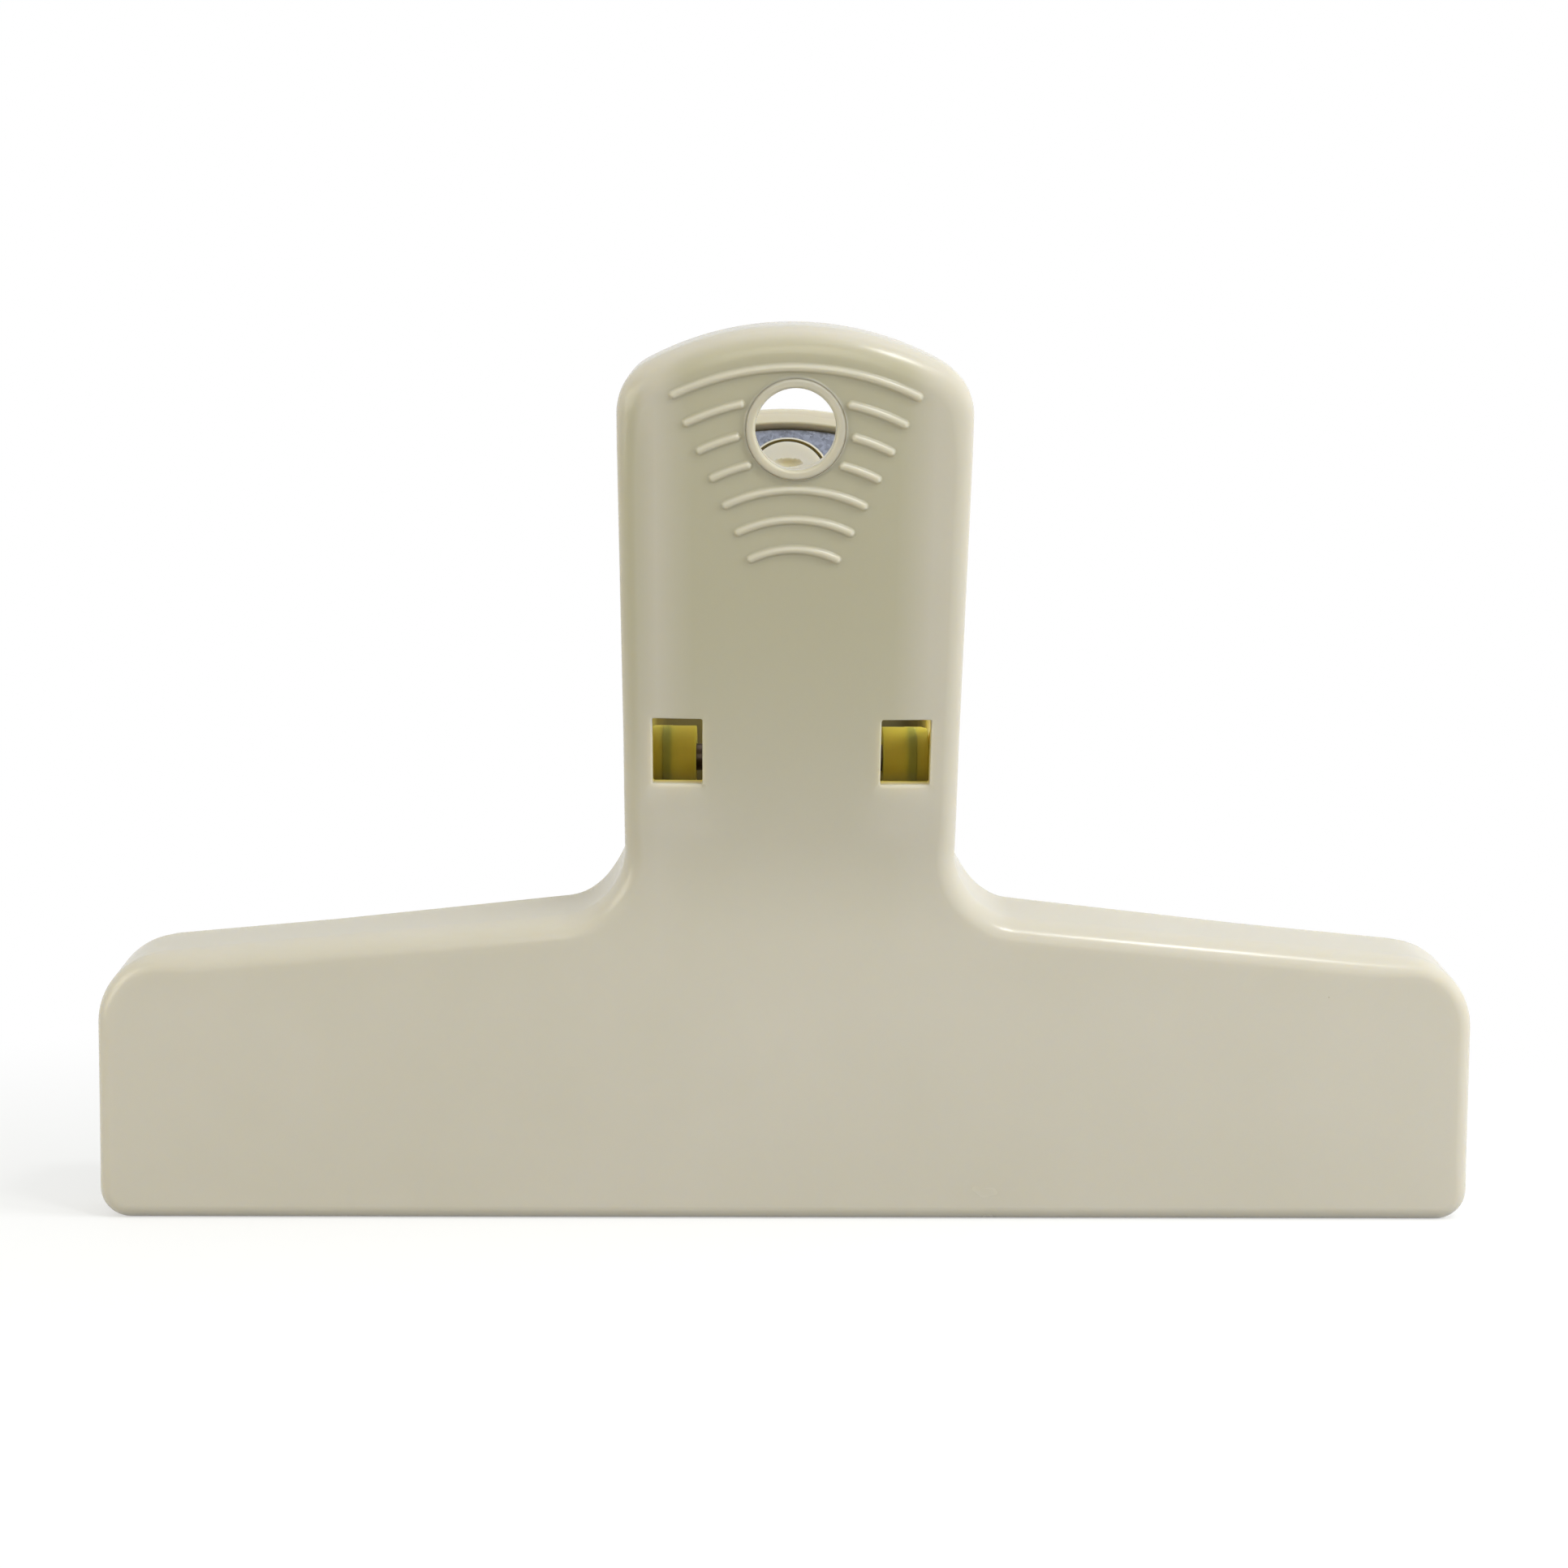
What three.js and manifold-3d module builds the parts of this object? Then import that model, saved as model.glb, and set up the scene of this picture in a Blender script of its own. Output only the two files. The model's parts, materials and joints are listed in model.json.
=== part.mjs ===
// Magnetic clip: two moulded levers on a steel pin, closed by a torsion spring, with a magnet in the back.
// Millimetres. +X runs along the jaws, +Y points to the back and +Z up, with the handles up.
// The origin is under the middle of the closed lips, which stand on z = 0.
import * as THREE from "three";
import { mergeVertices } from "three/addons/utils/BufferGeometryUtils.js";
import Module from "manifold-3d";

const wasm = await Module();
wasm.setup();

// A lever is drawn flat: x across, s along its face (0 level with the hinge) and w down into the tray.
const jawWidth = 150;
const jawReach = 47.6; // hinge to the lips, along the face
const shoulderDrop = 14; // hinge to the top of the jaw bar, at the paddle's side
const shoulderSlope = 5.2; // degrees
const shoulderDraft = 14.4; // degrees by which the walls round the shoulders rise towards the rim
const draftStart = 34; // hinge to where that rise begins, where it is full, and where it fades again
const draftFull = 22;
const draftFade = 12;
const jawCornerRadius = 7.7;
const lipCornerRadius = 3.4;
const waistRadius = 7.5;
const paddleWidth = 35.8;
const paddleFlare = 0.3; // each side stands this much further out at the top than at the hinge
const paddleReach = 48.1; // hinge to the front paddle's top
const backShorter = 1.2; // the back paddle ends this much lower
const paddleCornerRadius = 5.8;
const topRadius = 32.5; // of the paddle's top arc; the ribs share its centre
const wall = 2;
const edgeRadius = 1.6;

// Seen from the side: each lever leans away from the middle, less in the jaw than in the paddle.
const paddleLean = 18;
const jawLean = 4.5;
const bendDrop = 5.7; // hinge to where the bend starts
const bendLength = 10;
const bendSteps = 5;
const hingeDepth = 12.3; // face of the paddle to the hinge axis
const paddleDepth = 8;
const lipGap = 0.3;
const shoulderGap = 2; // between the two rims at the top of the jaws

const ribCount = 7;
const ribOuterRadius = 28.5;
const ribPitch = 3.05;
const ribWidth = 0.85;
const ribHeight = 0.45;
const fanAngle = 25.5; // degrees to each side
const hangHoleRadius = 4.1;
const hangHoleDrop = 10.1; // from the paddle's top
const hangRingWidth = 1;
const hangRingHeight = 0.6;
const windowInner = 9.45; // from the middle to the near edge of a window
const windowWidth = 5.3;
const windowBottom = 0.5;
const windowHeight = 7.2;
const windowCorner = 0.2;

const pinRadius = 1.5;
const runningGap = 0.3; // round the pin, and round whatever slides past it
const pinRecess = 0.3;
const pinChamfer = 0.3;
const earRadius = 3.4;
const earFoot = 5.4; // half the ear's width where it leaves the rim
const backEarThickness = 2.4;
const barrelRadius = 3.2;
const barrelLength = 2.7;
const earGap = 0.4; // between a front ear and the back ear beside it

const wireDiameter = 1.4;
const coilRadius = 3.3; // to the middle of the wire
const coilPitch = 2;
const coilTurns = 5; // whole turns, besides the part that the legs add
const springReach = 13.5; // hinge to the foot of a leg, along the paddle
const footStraight = 2.4;
const seatGap = 0.3;
const seatHeight = 1.2;
const seatWidth = 1.2;
const seatClearance = 0.5;

const magnetWidth = 22;
const magnetHeight = 14;
const magnetDrop = 13; // from the back paddle's top to the magnet's top
const magnetProud = 0.3;
const magnetCorner = 0.8;
const collarThickness = 1.3;
const plateSeat = 6; // depth at which the steel plate lies
const plateThickness = 0.8;
const plateWidth = 25.4;
const plateCorner = 2;
const stackGap = 0.1;
const hookThickness = 1.2;
const hookLip = 1.4;
const hookWidth = 9;
const rivetDrop = 9; // from the back paddle's top
const rivetHeadRadius = 5.1;
const rivetShankRadius = 2;
const rivetTailRadius = 3.1;
const rivetTailThickness = 0.9;
const rivetDimpleRadius = 1.55;
const rivetDimpleDepth = 0.6;
const bossWall = 2.7;

const chordError = 0.02; // how far a facet may lie inside its arc
const leastEdge = 0.01;
const wireSides = 5;
const stepsPerTurn = 8; // of the wire
const pathPointCount = 16; // on the wire's path, in each turn
const gapSampleCount = 400; // points on the wire between which its least gap is measured

const degrees = Math.PI / 180;
const paddleHalf = paddleWidth / 2;
const jawHalf = jawWidth / 2;
const backReach = paddleReach - backShorter;
const fanHeight = paddleReach - topRadius; // hinge to the centre of the ribs
const hangHoleHeight = paddleReach - hangHoleDrop;
const magnetBottom = backReach - magnetDrop - magnetHeight;
const rivetHeight = backReach - rivetDrop;
const bendTop = -bendDrop;
const bendBottom = bendTop - bendLength;
const frontSide = -1;
const backSide = 1;

// Points along an arc, closer together where the radius is small.
function arc(x, y, radius, from, to) {
  const step = 2 * Math.acos(1 - Math.min(chordError / radius, 0.5));
  const count = Math.max(2, Math.ceil(Math.abs(to - from) / step));
  const at = (i) => from + ((to - from) * i) / count;
  const point = (unused, i) => new THREE.Vector2(x + radius * Math.cos(at(i)), y + radius * Math.sin(at(i)));
  return Array.from({ length: count + 1 }, point);
}

function sidesOf(radius) {
  return arc(0, 0, radius, 0, 2 * Math.PI).length - 1;
}

// A closed outline through points, without doubled ones.
function outlineThrough(points) {
  const apart = (point, i) => point.distanceTo(points[(i + points.length - 1) % points.length]) > leastEdge;
  return new THREE.Shape(points.filter(apart));
}

// A closed three.js geometry as a solid that can be joined and cut.
function solidOf(geometry) {
  const bare = geometry.index ? geometry.toNonIndexed() : geometry.clone();
  bare.deleteAttribute("normal");
  bare.deleteAttribute("uv");
  const merged = mergeVertices(bare, 1e-4);
  const vertProperties = new Float32Array(merged.attributes.position.array);
  const triVerts = new Uint32Array(merged.index.array);
  return new wasm.Manifold(new wasm.Mesh({ numProp: 3, vertProperties, triVerts }));
}

function geometryOf(solid) {
  const mesh = solid.getMesh();
  const geometry = new THREE.BufferGeometry();
  geometry.setAttribute("position", new THREE.BufferAttribute(mesh.vertProperties, 3));
  geometry.setIndex(new THREE.BufferAttribute(mesh.triVerts, 1));
  return geometry;
}

function joined(solids) {
  return solids.reduce((sum, solid) => sum.add(solid));
}

function polygon(corners) {
  return new THREE.Shape(corners.map(([x, y]) => new THREE.Vector2(x, y)));
}

// A flat outline with thickness, from depth w0 to w1.
function plate(shape, w0, w1) {
  return new THREE.ExtrudeGeometry(shape, { depth: w1 - w0, bevelEnabled: false }).translate(0, 0, w0);
}

// A side profile drawn in (s, w), given its width from x0 to x1.
function slice(shape, x0, x1) {
  const geometry = new THREE.ExtrudeGeometry(shape, { depth: x1 - x0, bevelEnabled: false });
  const turn = new THREE.Matrix4().set(0, 0, 1, x0, 1, 0, 0, 0, 0, 1, 0, 0, 0, 0, 0, 1);
  return geometry.applyMatrix4(turn);
}

// A round post or hole square to the face, at (x, s), from depth w0 to w1.
function post(radius, x, s, w0, w1) {
  const geometry = new THREE.CylinderGeometry(radius, radius, w1 - w0, sidesOf(radius));
  return geometry.rotateX(Math.PI / 2).translate(x, s, (w0 + w1) / 2);
}

// A round bar along x on the hinge axis, in the flat drawing.
function bar(radius, x0, x1) {
  const geometry = new THREE.CylinderGeometry(radius, radius, x1 - x0, sidesOf(radius));
  return geometry.rotateZ(Math.PI / 2).translate((x0 + x1) / 2, 0, hingeDepth);
}

function roundedBox(width, s0, s1, radius) {
  const x = width / 2 - radius;
  const quarter = Math.PI / 2;
  return outlineThrough([
    ...arc(x, s0 + radius, radius, -quarter, 0),
    ...arc(x, s1 - radius, radius, 0, quarter),
    ...arc(-x, s1 - radius, radius, quarter, 2 * quarter),
    ...arc(-x, s0 + radius, radius, 2 * quarter, 3 * quarter),
  ]);
}

// Arc centres of the right half of the T outline of a lever whose paddle reaches so far, drawn in by an inset.
function outlineArcs(inset, reach) {
  const side = paddleHalf - inset;
  const end = jawHalf - inset;
  const slope = shoulderSlope * degrees;
  const shoulderAt = (x) => -shoulderDrop - (x - paddleHalf) * Math.tan(slope) - inset / Math.cos(slope);
  const lip = { r: lipCornerRadius - inset * 0.5 };
  lip.x = end - lip.r;
  lip.s = -jawReach + inset + lip.r;
  const jaw = { r: jawCornerRadius - inset };
  jaw.x = end - jaw.r;
  jaw.s = shoulderAt(jaw.x) - jaw.r / Math.cos(slope);
  const waist = { r: waistRadius + inset };
  waist.x = side + waist.r;
  waist.s = shoulderAt(waist.x) + waist.r / Math.cos(slope);
  const top = { r: topRadius - inset, x: 0, s: reach - topRadius };
  const corner = { r: paddleCornerRadius - inset };
  corner.x = side + paddleFlare - corner.r;
  corner.s = top.s + Math.sqrt((top.r - corner.r) ** 2 - corner.x ** 2);
  corner.end = Math.atan2(corner.s - top.s, corner.x);
  return { lip, jaw, waist, corner, top, slope, side };
}

// The T outline of a lever: jaw bar, waist and paddle.
function leverOutline(inset, reach) {
  const { lip, jaw, waist, corner, top, slope, side } = outlineArcs(inset, reach);
  const quarter = Math.PI / 2;
  const tilt = quarter - slope;
  const right = [
    ...arc(lip.x, lip.s, lip.r, -quarter, 0),
    ...arc(jaw.x, jaw.s, jaw.r, 0, tilt),
    ...arc(waist.x, waist.s, waist.r, tilt - Math.PI, -Math.PI),
    new THREE.Vector2(side, earFoot),
    ...arc(corner.x, corner.s, corner.r, 0, corner.end),
    ...arc(top.x, top.s, top.r, corner.end, quarter),
  ];
  const left = right.map((point) => new THREE.Vector2(-point.x, point.y)).reverse();
  return outlineThrough([...right, ...left]);
}

// Lean of the face in radians, its distance from the middle and its height over the hinge, at s.
function faceAt(s) {
  const steep = paddleLean * degrees;
  const shallow = jawLean * degrees;
  const startY = hingeDepth * Math.cos(steep) + bendTop * Math.sin(steep);
  const startZ = -hingeDepth * Math.sin(steep) + bendTop * Math.cos(steep);
  const straight = (lean, y, z, run) => ({ lean, y: y + run * Math.sin(lean), z: z + run * Math.cos(lean) });
  if (s >= bendTop) return straight(steep, startY, startZ, s - bendTop);
  const bent = Math.min(bendTop - s, bendLength);
  const lean = steep - ((steep - shallow) * bent) / bendLength;
  const radius = bendLength / (steep - shallow);
  const y = startY - radius * (Math.cos(lean) - Math.cos(steep));
  const z = startZ - radius * (Math.sin(steep) - Math.sin(lean));
  return straight(lean, y, z, Math.min(s - bendBottom, 0));
}

// The walls round the shoulders aren't square to the face: they rise towards the rim.
function draftRise(s, w) {
  const low = THREE.MathUtils.smoothstep(s, -draftStart, -draftFull);
  const high = 1 - THREE.MathUtils.smoothstep(s, -draftFade, -earFoot);
  return Math.max(w - edgeRadius, 0) * Math.tan(shoulderDraft * degrees) * low * high;
}

// A point of the flat drawing on the bent lever, measured from the hinge axis.
function bentPoint(x, s, w, side) {
  const face = faceAt(s + draftRise(s, w));
  const y = face.y - w * Math.cos(face.lean);
  return new THREE.Vector3(x, side * y, face.z + w * Math.sin(face.lean));
}

// Cuts every triangle where it crosses the line s = level, so that the bend has edges to turn on.
function cutAtLevel(triangles, level) {
  const cut = [];
  const crossing = (low, high) => low.clone().lerp(high, (level - low.y) / (high.y - low.y)).setY(level);
  for (const triangle of triangles) {
    const above = [];
    const below = [];
    for (let i = 0; i < 3; i++) {
      const here = triangle[i];
      const next = triangle[(i + 1) % 3];
      if (here.y >= level) above.push(here);
      if (here.y <= level) below.push(here);
      if ((here.y - level) * (next.y - level) < 0) {
        const point = here.y < next.y ? crossing(here, next) : crossing(next, here);
        above.push(point);
        below.push(point);
      }
    }
    for (const part of [above, below]) {
      for (let i = 2; i < part.length; i++) cut.push([part[0], part[i - 1], part[i]]);
    }
  }
  return cut;
}

// Bends a flat lever about the line across its waist and stands it on its side of the middle.
function bendLever(solid, side) {
  const flat = geometryOf(solid).toNonIndexed().attributes.position;
  let triangles = [];
  for (let i = 0; i < flat.count; i += 3) {
    triangles.push([0, 1, 2].map((k) => new THREE.Vector3().fromBufferAttribute(flat, i + k)));
  }
  for (let i = 0; i <= bendSteps; i++) {
    triangles = cutAtLevel(triangles, Math.fround(bendTop - (i * bendLength) / bendSteps));
  }
  const positions = [];
  for (const triangle of triangles) {
    const order = side === frontSide ? [0, 2, 1] : [0, 1, 2];
    for (const k of order) positions.push(...bentPoint(triangle[k].x, triangle[k].y, triangle[k].z, side).toArray());
  }
  const geometry = new THREE.BufferGeometry();
  geometry.setAttribute("position", new THREE.Float32BufferAttribute(positions, 3));
  const merged = mergeVertices(geometry, 1e-4);
  merged.setIndex([...merged.index.array].reduce(dropFlat, []));
  return merged;
}

// Leaves out triangles whose corners fell together.
function dropFlat(kept, corner, i, all) {
  if (i % 3 === 2) {
    const [a, b] = [all[i - 2], all[i - 1]];
    if (a !== b && b !== corner && corner !== a) kept.push(a, b, corner);
  }
  return kept;
}

// The open tray that both levers start from: walls all round, cut off along the rim.
function leverTray(reach) {
  const deep = paddleDepth + 2 * edgeRadius;
  const blank = new THREE.ExtrudeGeometry(leverOutline(0, reach), {
    depth: deep,
    bevelEnabled: true,
    bevelSize: edgeRadius,
    bevelThickness: edgeRadius,
    bevelOffset: -edgeRadius,
    bevelSegments: 4,
  });
  blank.translate(0, 0, edgeRadius);
  const hollow = plate(leverOutline(wall, reach), wall, deep);
  const lean = jawLean * degrees;
  const lipDepth = (faceAt(-jawReach).y - lipGap / 2) / Math.cos(lean);
  const shoulderDepth = (faceAt(bendBottom).y - shoulderGap / 2) / Math.cos(lean);
  const rim = polygon([
    [-jawReach - wall, lipDepth],
    [-jawReach, lipDepth],
    [bendBottom, shoulderDepth],
    [bendTop, paddleDepth],
    [reach + wall, paddleDepth],
    [reach + wall, 2 * deep],
    [-jawReach - wall, 2 * deep],
  ]);
  return solidOf(blank).subtract(solidOf(hollow)).subtract(solidOf(slice(rim, -jawWidth, jawWidth)));
}

// An ear that carries the pin: it narrows from its foot to a round end on the hinge axis.
function earShape(footDepth) {
  const foot = [-earFoot, earFoot].map((s) => new THREE.Vector2(s, footDepth));
  return outlineThrough([foot[0], foot[1], ...arc(0, hingeDepth, earRadius, 0, Math.PI)]);
}

// The same piece on the left and on the right, from a function of its two x limits.
function bothSides(make, near, far) {
  return joined([make(near, far), make(-far, -near)].map(solidOf));
}

// Ring inside the tray that keeps the foot of a spring leg in place.
function springSeat(x) {
  const hole = wireDiameter / 2 + seatClearance;
  const ring = solidOf(post(hole + seatWidth, x, springReach, wall / 2, wall + seatHeight));
  return ring.subtract(solidOf(post(hole, x, springReach, wall, wall + 2 * seatHeight)));
}

function fanRib(radius) {
  const half = ribWidth / 2;
  const start = (90 - fanAngle) * degrees;
  const end = (90 + fanAngle) * degrees;
  const endArc = (angle, from) => {
    const x = radius * Math.cos(angle);
    return arc(x, fanHeight + radius * Math.sin(angle), half, from, from + Math.PI);
  };
  const shape = outlineThrough([
    ...arc(0, fanHeight, radius + half, start, end),
    ...endArc(end, end),
    ...arc(0, fanHeight, radius - half, end, start),
    ...endArc(start, start + Math.PI),
  ]);
  const bevel = ribHeight / 2;
  const rib = new THREE.ExtrudeGeometry(shape, {
    depth: ribHeight,
    bevelSize: bevel,
    bevelThickness: bevel,
    bevelOffset: -bevel,
    bevelSegments: 1,
  });
  return rib.translate(0, 0, -ribHeight + bevel);
}

// Raised ring round the hang hole, with a rounded crown.
function hangRing() {
  const outer = hangHoleRadius + hangRingWidth;
  const crown = hangRingWidth / 2;
  const profile = new THREE.Path();
  profile.moveTo(0, -wall / 2);
  profile.lineTo(outer, -wall / 2);
  profile.lineTo(outer, hangRingHeight - crown);
  profile.absarc(hangHoleRadius + crown, hangRingHeight - crown, crown, 0, Math.PI / 2);
  profile.lineTo(0, hangRingHeight);
  const ring = new THREE.LatheGeometry(profile.getPoints(3), sidesOf(hangHoleRadius));
  return ring.rotateX(-Math.PI / 2).translate(0, hangHoleHeight, 0);
}

// A named mesh with its own material.
function piece(name, geometry, color, roughness, metalness) {
  const mesh = new THREE.Mesh(geometry, new THREE.MeshStandardMaterial({ color, roughness, metalness }));
  mesh.name = name;
  return mesh;
}

// Front lever: fan ribs, hang hole, two windows and outer ears flush with the paddle's sides.
function frontLever() {
  const ears = bothSides((x0, x1) => slice(earShape(paddleDepth - wall), x0, x1), paddleHalf - wall, paddleHalf);
  const ribs = Array.from({ length: ribCount }, (unused, i) => solidOf(fanRib(ribOuterRadius - i * ribPitch)));
  const holeDepth = 2 * wall;
  const windowFar = windowInner + windowWidth;
  const window = (x0, x1) => {
    const opening = roundedBox(windowWidth, windowBottom, windowBottom + windowHeight, windowCorner);
    return plate(opening, -wall, holeDepth).translate((x0 + x1) / 2, 0, 0);
  };
  return joined([leverTray(paddleReach), ears, ...ribs, solidOf(hangRing()), springSeat(-springHalf())])
    .subtract(solidOf(post(hangHoleRadius, 0, hangHoleHeight, -holeDepth, holeDepth)))
    .subtract(bothSides(window, windowInner, windowFar))
    .subtract(solidOf(bar(pinRadius + runningGap, -jawHalf, jawHalf)));
}

// Back lever: inner ears with barrels, a collar for the magnet, a rivet boss and a hook for the plate.
function backLever() {
  const earFar = paddleHalf - wall - earGap;
  const earNear = earFar - backEarThickness;
  const ears = bothSides((x0, x1) => slice(earShape(wall / 2), x0, x1), earNear, earFar);
  const gusset = polygon([
    [-earFoot, wall / 2],
    [earFoot, wall / 2],
    [earFoot, paddleDepth - wall],
    [-earFoot, paddleDepth - wall],
  ]);
  const gussets = bothSides((x0, x1) => slice(gusset, x0, x1), earNear, paddleHalf - wall / 2);
  const barrels = bothSides((x0, x1) => bar(barrelRadius, x0, x1), earNear - barrelLength, earNear + wall / 2);
  const pocketWidth = magnetWidth + 2 * runningGap;
  const pocketBottom = magnetBottom - runningGap;
  const pocketTop = magnetBottom + magnetHeight + runningGap;
  const grow = collarThickness;
  const collarShape = roundedBox(pocketWidth + 2 * grow, pocketBottom - grow, pocketTop + grow, magnetCorner + grow);
  const collar = solidOf(plate(collarShape, wall / 2, plateSeat));
  const pocket = solidOf(plate(roundedBox(pocketWidth, pocketBottom, pocketTop, magnetCorner), -wall, 2 * plateSeat));
  const shankHole = rivetShankRadius + runningGap;
  const boss = solidOf(post(shankHole + bossWall, 0, rivetHeight, wall / 2, plateSeat));
  const hook = solidOf(slice(hookShape(), -hookWidth / 2, hookWidth / 2));
  const tailPocket = post(rivetTailRadius + runningGap, 0, rivetHeight, -wall, rivetTailThickness + 2 * runningGap);
  return joined([leverTray(backReach), ears, gussets, barrels, collar, boss, hook, springSeat(springHalf())])
    .subtract(pocket)
    .subtract(solidOf(post(shankHole, 0, rivetHeight, -wall, 2 * plateSeat)))
    .subtract(solidOf(tailPocket))
    .subtract(solidOf(bar(pinRadius + runningGap, -jawHalf, jawHalf)));
}

function plateBottom() {
  return magnetBottom - runningGap - collarThickness;
}

// A rib under the magnet whose lip reaches over the plate's lower edge.
function hookShape() {
  const under = plateSeat + plateThickness + 2 * stackGap;
  const back = plateBottom() - seatGap;
  const top = paddleDepth - stackGap;
  return polygon([
    [back - hookThickness, wall / 2],
    [back, wall / 2],
    [back, under],
    [back + hookLip, under],
    [back + hookLip, top],
    [back - hookThickness, top],
  ]);
}

function magnet() {
  const outline = roundedBox(magnetWidth, magnetBottom, magnetBottom + magnetHeight, magnetCorner);
  return plate(outline, -magnetProud, plateSeat);
}

// Steel plate over the magnet: its top follows the inside of the tray.
function magnetPlate() {
  const half = plateWidth / 2;
  const radius = topRadius - wall - seatGap;
  const centre = backReach - topRadius;
  const corner = plateCorner;
  const cornerX = half - corner;
  const cornerS = centre + Math.sqrt((radius - corner) ** 2 - cornerX ** 2);
  const turn = Math.atan2(cornerS - centre, cornerX);
  const quarter = Math.PI / 2;
  const bottom = plateBottom();
  const right = [
    ...arc(cornerX, bottom + corner, corner, -quarter, 0),
    ...arc(cornerX, cornerS, corner, 0, turn),
    ...arc(0, centre, radius, turn, quarter),
  ];
  const left = right.map((point) => new THREE.Vector2(-point.x, point.y)).reverse();
  const shape = outlineThrough([...right, ...left]);
  const seat = plateSeat + stackGap;
  const blank = solidOf(plate(shape, seat, seat + plateThickness));
  const hole = post(rivetShankRadius + runningGap, 0, rivetHeight, 0, 2 * plateSeat);
  return geometryOf(blank.subtract(solidOf(hole)));
}

// Plastic rivet: a broad head with a dimple over the plate, a shank, and a tail sunk in the lever's face.
function magnetRivet() {
  const headUnder = plateSeat + plateThickness + 2 * stackGap;
  const headTop = paddleDepth;
  const tailTop = runningGap + rivetTailThickness;
  const round = (headTop - headUnder) / 2;
  const profile = new THREE.Path();
  profile.moveTo(0, runningGap);
  profile.lineTo(rivetTailRadius, runningGap);
  profile.lineTo(rivetTailRadius, tailTop);
  profile.lineTo(rivetShankRadius, tailTop);
  profile.lineTo(rivetShankRadius, headUnder);
  profile.lineTo(rivetHeadRadius, headUnder);
  profile.lineTo(rivetHeadRadius, headTop - round);
  profile.absarc(rivetHeadRadius - round, headTop - round, round, 0, Math.PI / 2);
  profile.lineTo(rivetDimpleRadius, headTop);
  profile.lineTo(rivetDimpleRadius - rivetDimpleDepth / 2, headTop - rivetDimpleDepth);
  profile.lineTo(0, headTop - rivetDimpleDepth);
  const rivet = new THREE.LatheGeometry(profile.getPoints(2), sidesOf(rivetHeadRadius));
  return rivet.rotateX(Math.PI / 2).translate(0, rivetHeight, 0);
}

function hingePin() {
  const half = paddleHalf - pinRecess;
  const slim = pinRadius - pinChamfer;
  const profile = [
    [0, -half],
    [slim, -half],
    [pinRadius, -half + pinChamfer],
    [pinRadius, half - pinChamfer],
    [slim, half],
    [0, half],
  ].map(([r, z]) => new THREE.Vector2(r, z));
  return new THREE.LatheGeometry(profile, sidesOf(pinRadius)).rotateZ(Math.PI / 2);
}

// Where a leg leaves the coil and how it reaches its foot, in the plane of the leg.
function springLeg() {
  const lean = paddleLean * degrees;
  const atDepth = (w) => {
    const drop = hingeDepth - w;
    const y = drop * Math.cos(lean) + springReach * Math.sin(lean);
    return new THREE.Vector2(y, springReach * Math.cos(lean) - drop * Math.sin(lean));
  };
  const foot = atDepth(wall + seatGap);
  const knee = atDepth(wall + seatGap + footStraight);
  const bearing = Math.atan2(knee.y, knee.x);
  const leaving = bearing - Math.acos(coilRadius / knee.length());
  return { foot, knee, leaving };
}

function springAngle() {
  return (coilTurns * 2 + 1) * Math.PI + 2 * springLeg().leaving;
}

// Half the distance between the two legs along the hinge.
function springHalf() {
  return (springAngle() / (2 * Math.PI)) * coilPitch / 2;
}

// The middle line of the wire: front foot, front leg, coil, back leg, back foot.
function springPath() {
  const { foot, knee, leaving } = springLeg();
  const half = springHalf();
  const points = [];
  const leave = new THREE.Vector2(Math.cos(leaving), Math.sin(leaving)).multiplyScalar(coilRadius);
  const legStops = [0.12, 0.3, 0.5, 0.7, 0.9];
  const leg = [foot, foot.clone().lerp(knee, 0.4), foot.clone().lerp(knee, 0.8)];
  for (const stop of legStops) leg.push(knee.clone().lerp(leave, stop));
  for (const point of leg) points.push(new THREE.Vector3(-half, -point.x, point.y));
  const start = -Math.PI - leaving;
  const steps = pathPointCount * coilTurns;
  for (let i = 0; i <= steps; i++) {
    const turn = start + (springAngle() * i) / steps;
    const x = -half + (2 * half * i) / steps;
    points.push(new THREE.Vector3(x, coilRadius * Math.cos(turn), coilRadius * Math.sin(turn)));
  }
  for (const point of leg.reverse()) points.push(new THREE.Vector3(half, point.x, point.y));
  const path = new THREE.CatmullRomCurve3(points, false, "centripetal");
  path.arcLengthDivisions = 1200;
  return path;
}

function torsionSpring() {
  const path = springPath();
  const turnLength = Math.hypot(2 * Math.PI * coilRadius, coilPitch);
  const steps = Math.round((stepsPerTurn * path.getLength()) / turnLength);
  const section = polygon(
    Array.from({ length: wireSides }, (unused, i) => {
      const turn = (2 * Math.PI * i) / wireSides;
      return [(wireDiameter / 2) * Math.cos(turn), (wireDiameter / 2) * Math.sin(turn)];
    }),
  );
  const spaced = path.getSpacedPoints(gapSampleCount);
  const apart = Math.ceil((4.5 * wireDiameter * gapSampleCount) / path.getLength());
  let least = Infinity;
  spaced.forEach((a, i) => {
    for (let k = i + apart; k < spaced.length; k++) least = Math.min(least, a.distanceTo(spaced[k]));
  });
  console.log("spring wire's least gap to itself, mm:", (least - wireDiameter).toFixed(2));
  return new THREE.ExtrudeGeometry(section, { steps, extrudePath: path, bevelEnabled: false });
}

const ivory = "#cdc6b0";
const front = piece("front_lever", bendLever(frontLever(), frontSide), ivory, 0.42, 0);
const back = piece("back_lever", bendLever(backLever(), backSide), ivory, 0.42, 0);
const pin = piece("hinge_pin", hingePin(), "#8d8f92", 0.35, 0.95);
const spring = piece("torsion_spring", torsionSpring(), "#73767a", 0.4, 0.95);

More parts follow.
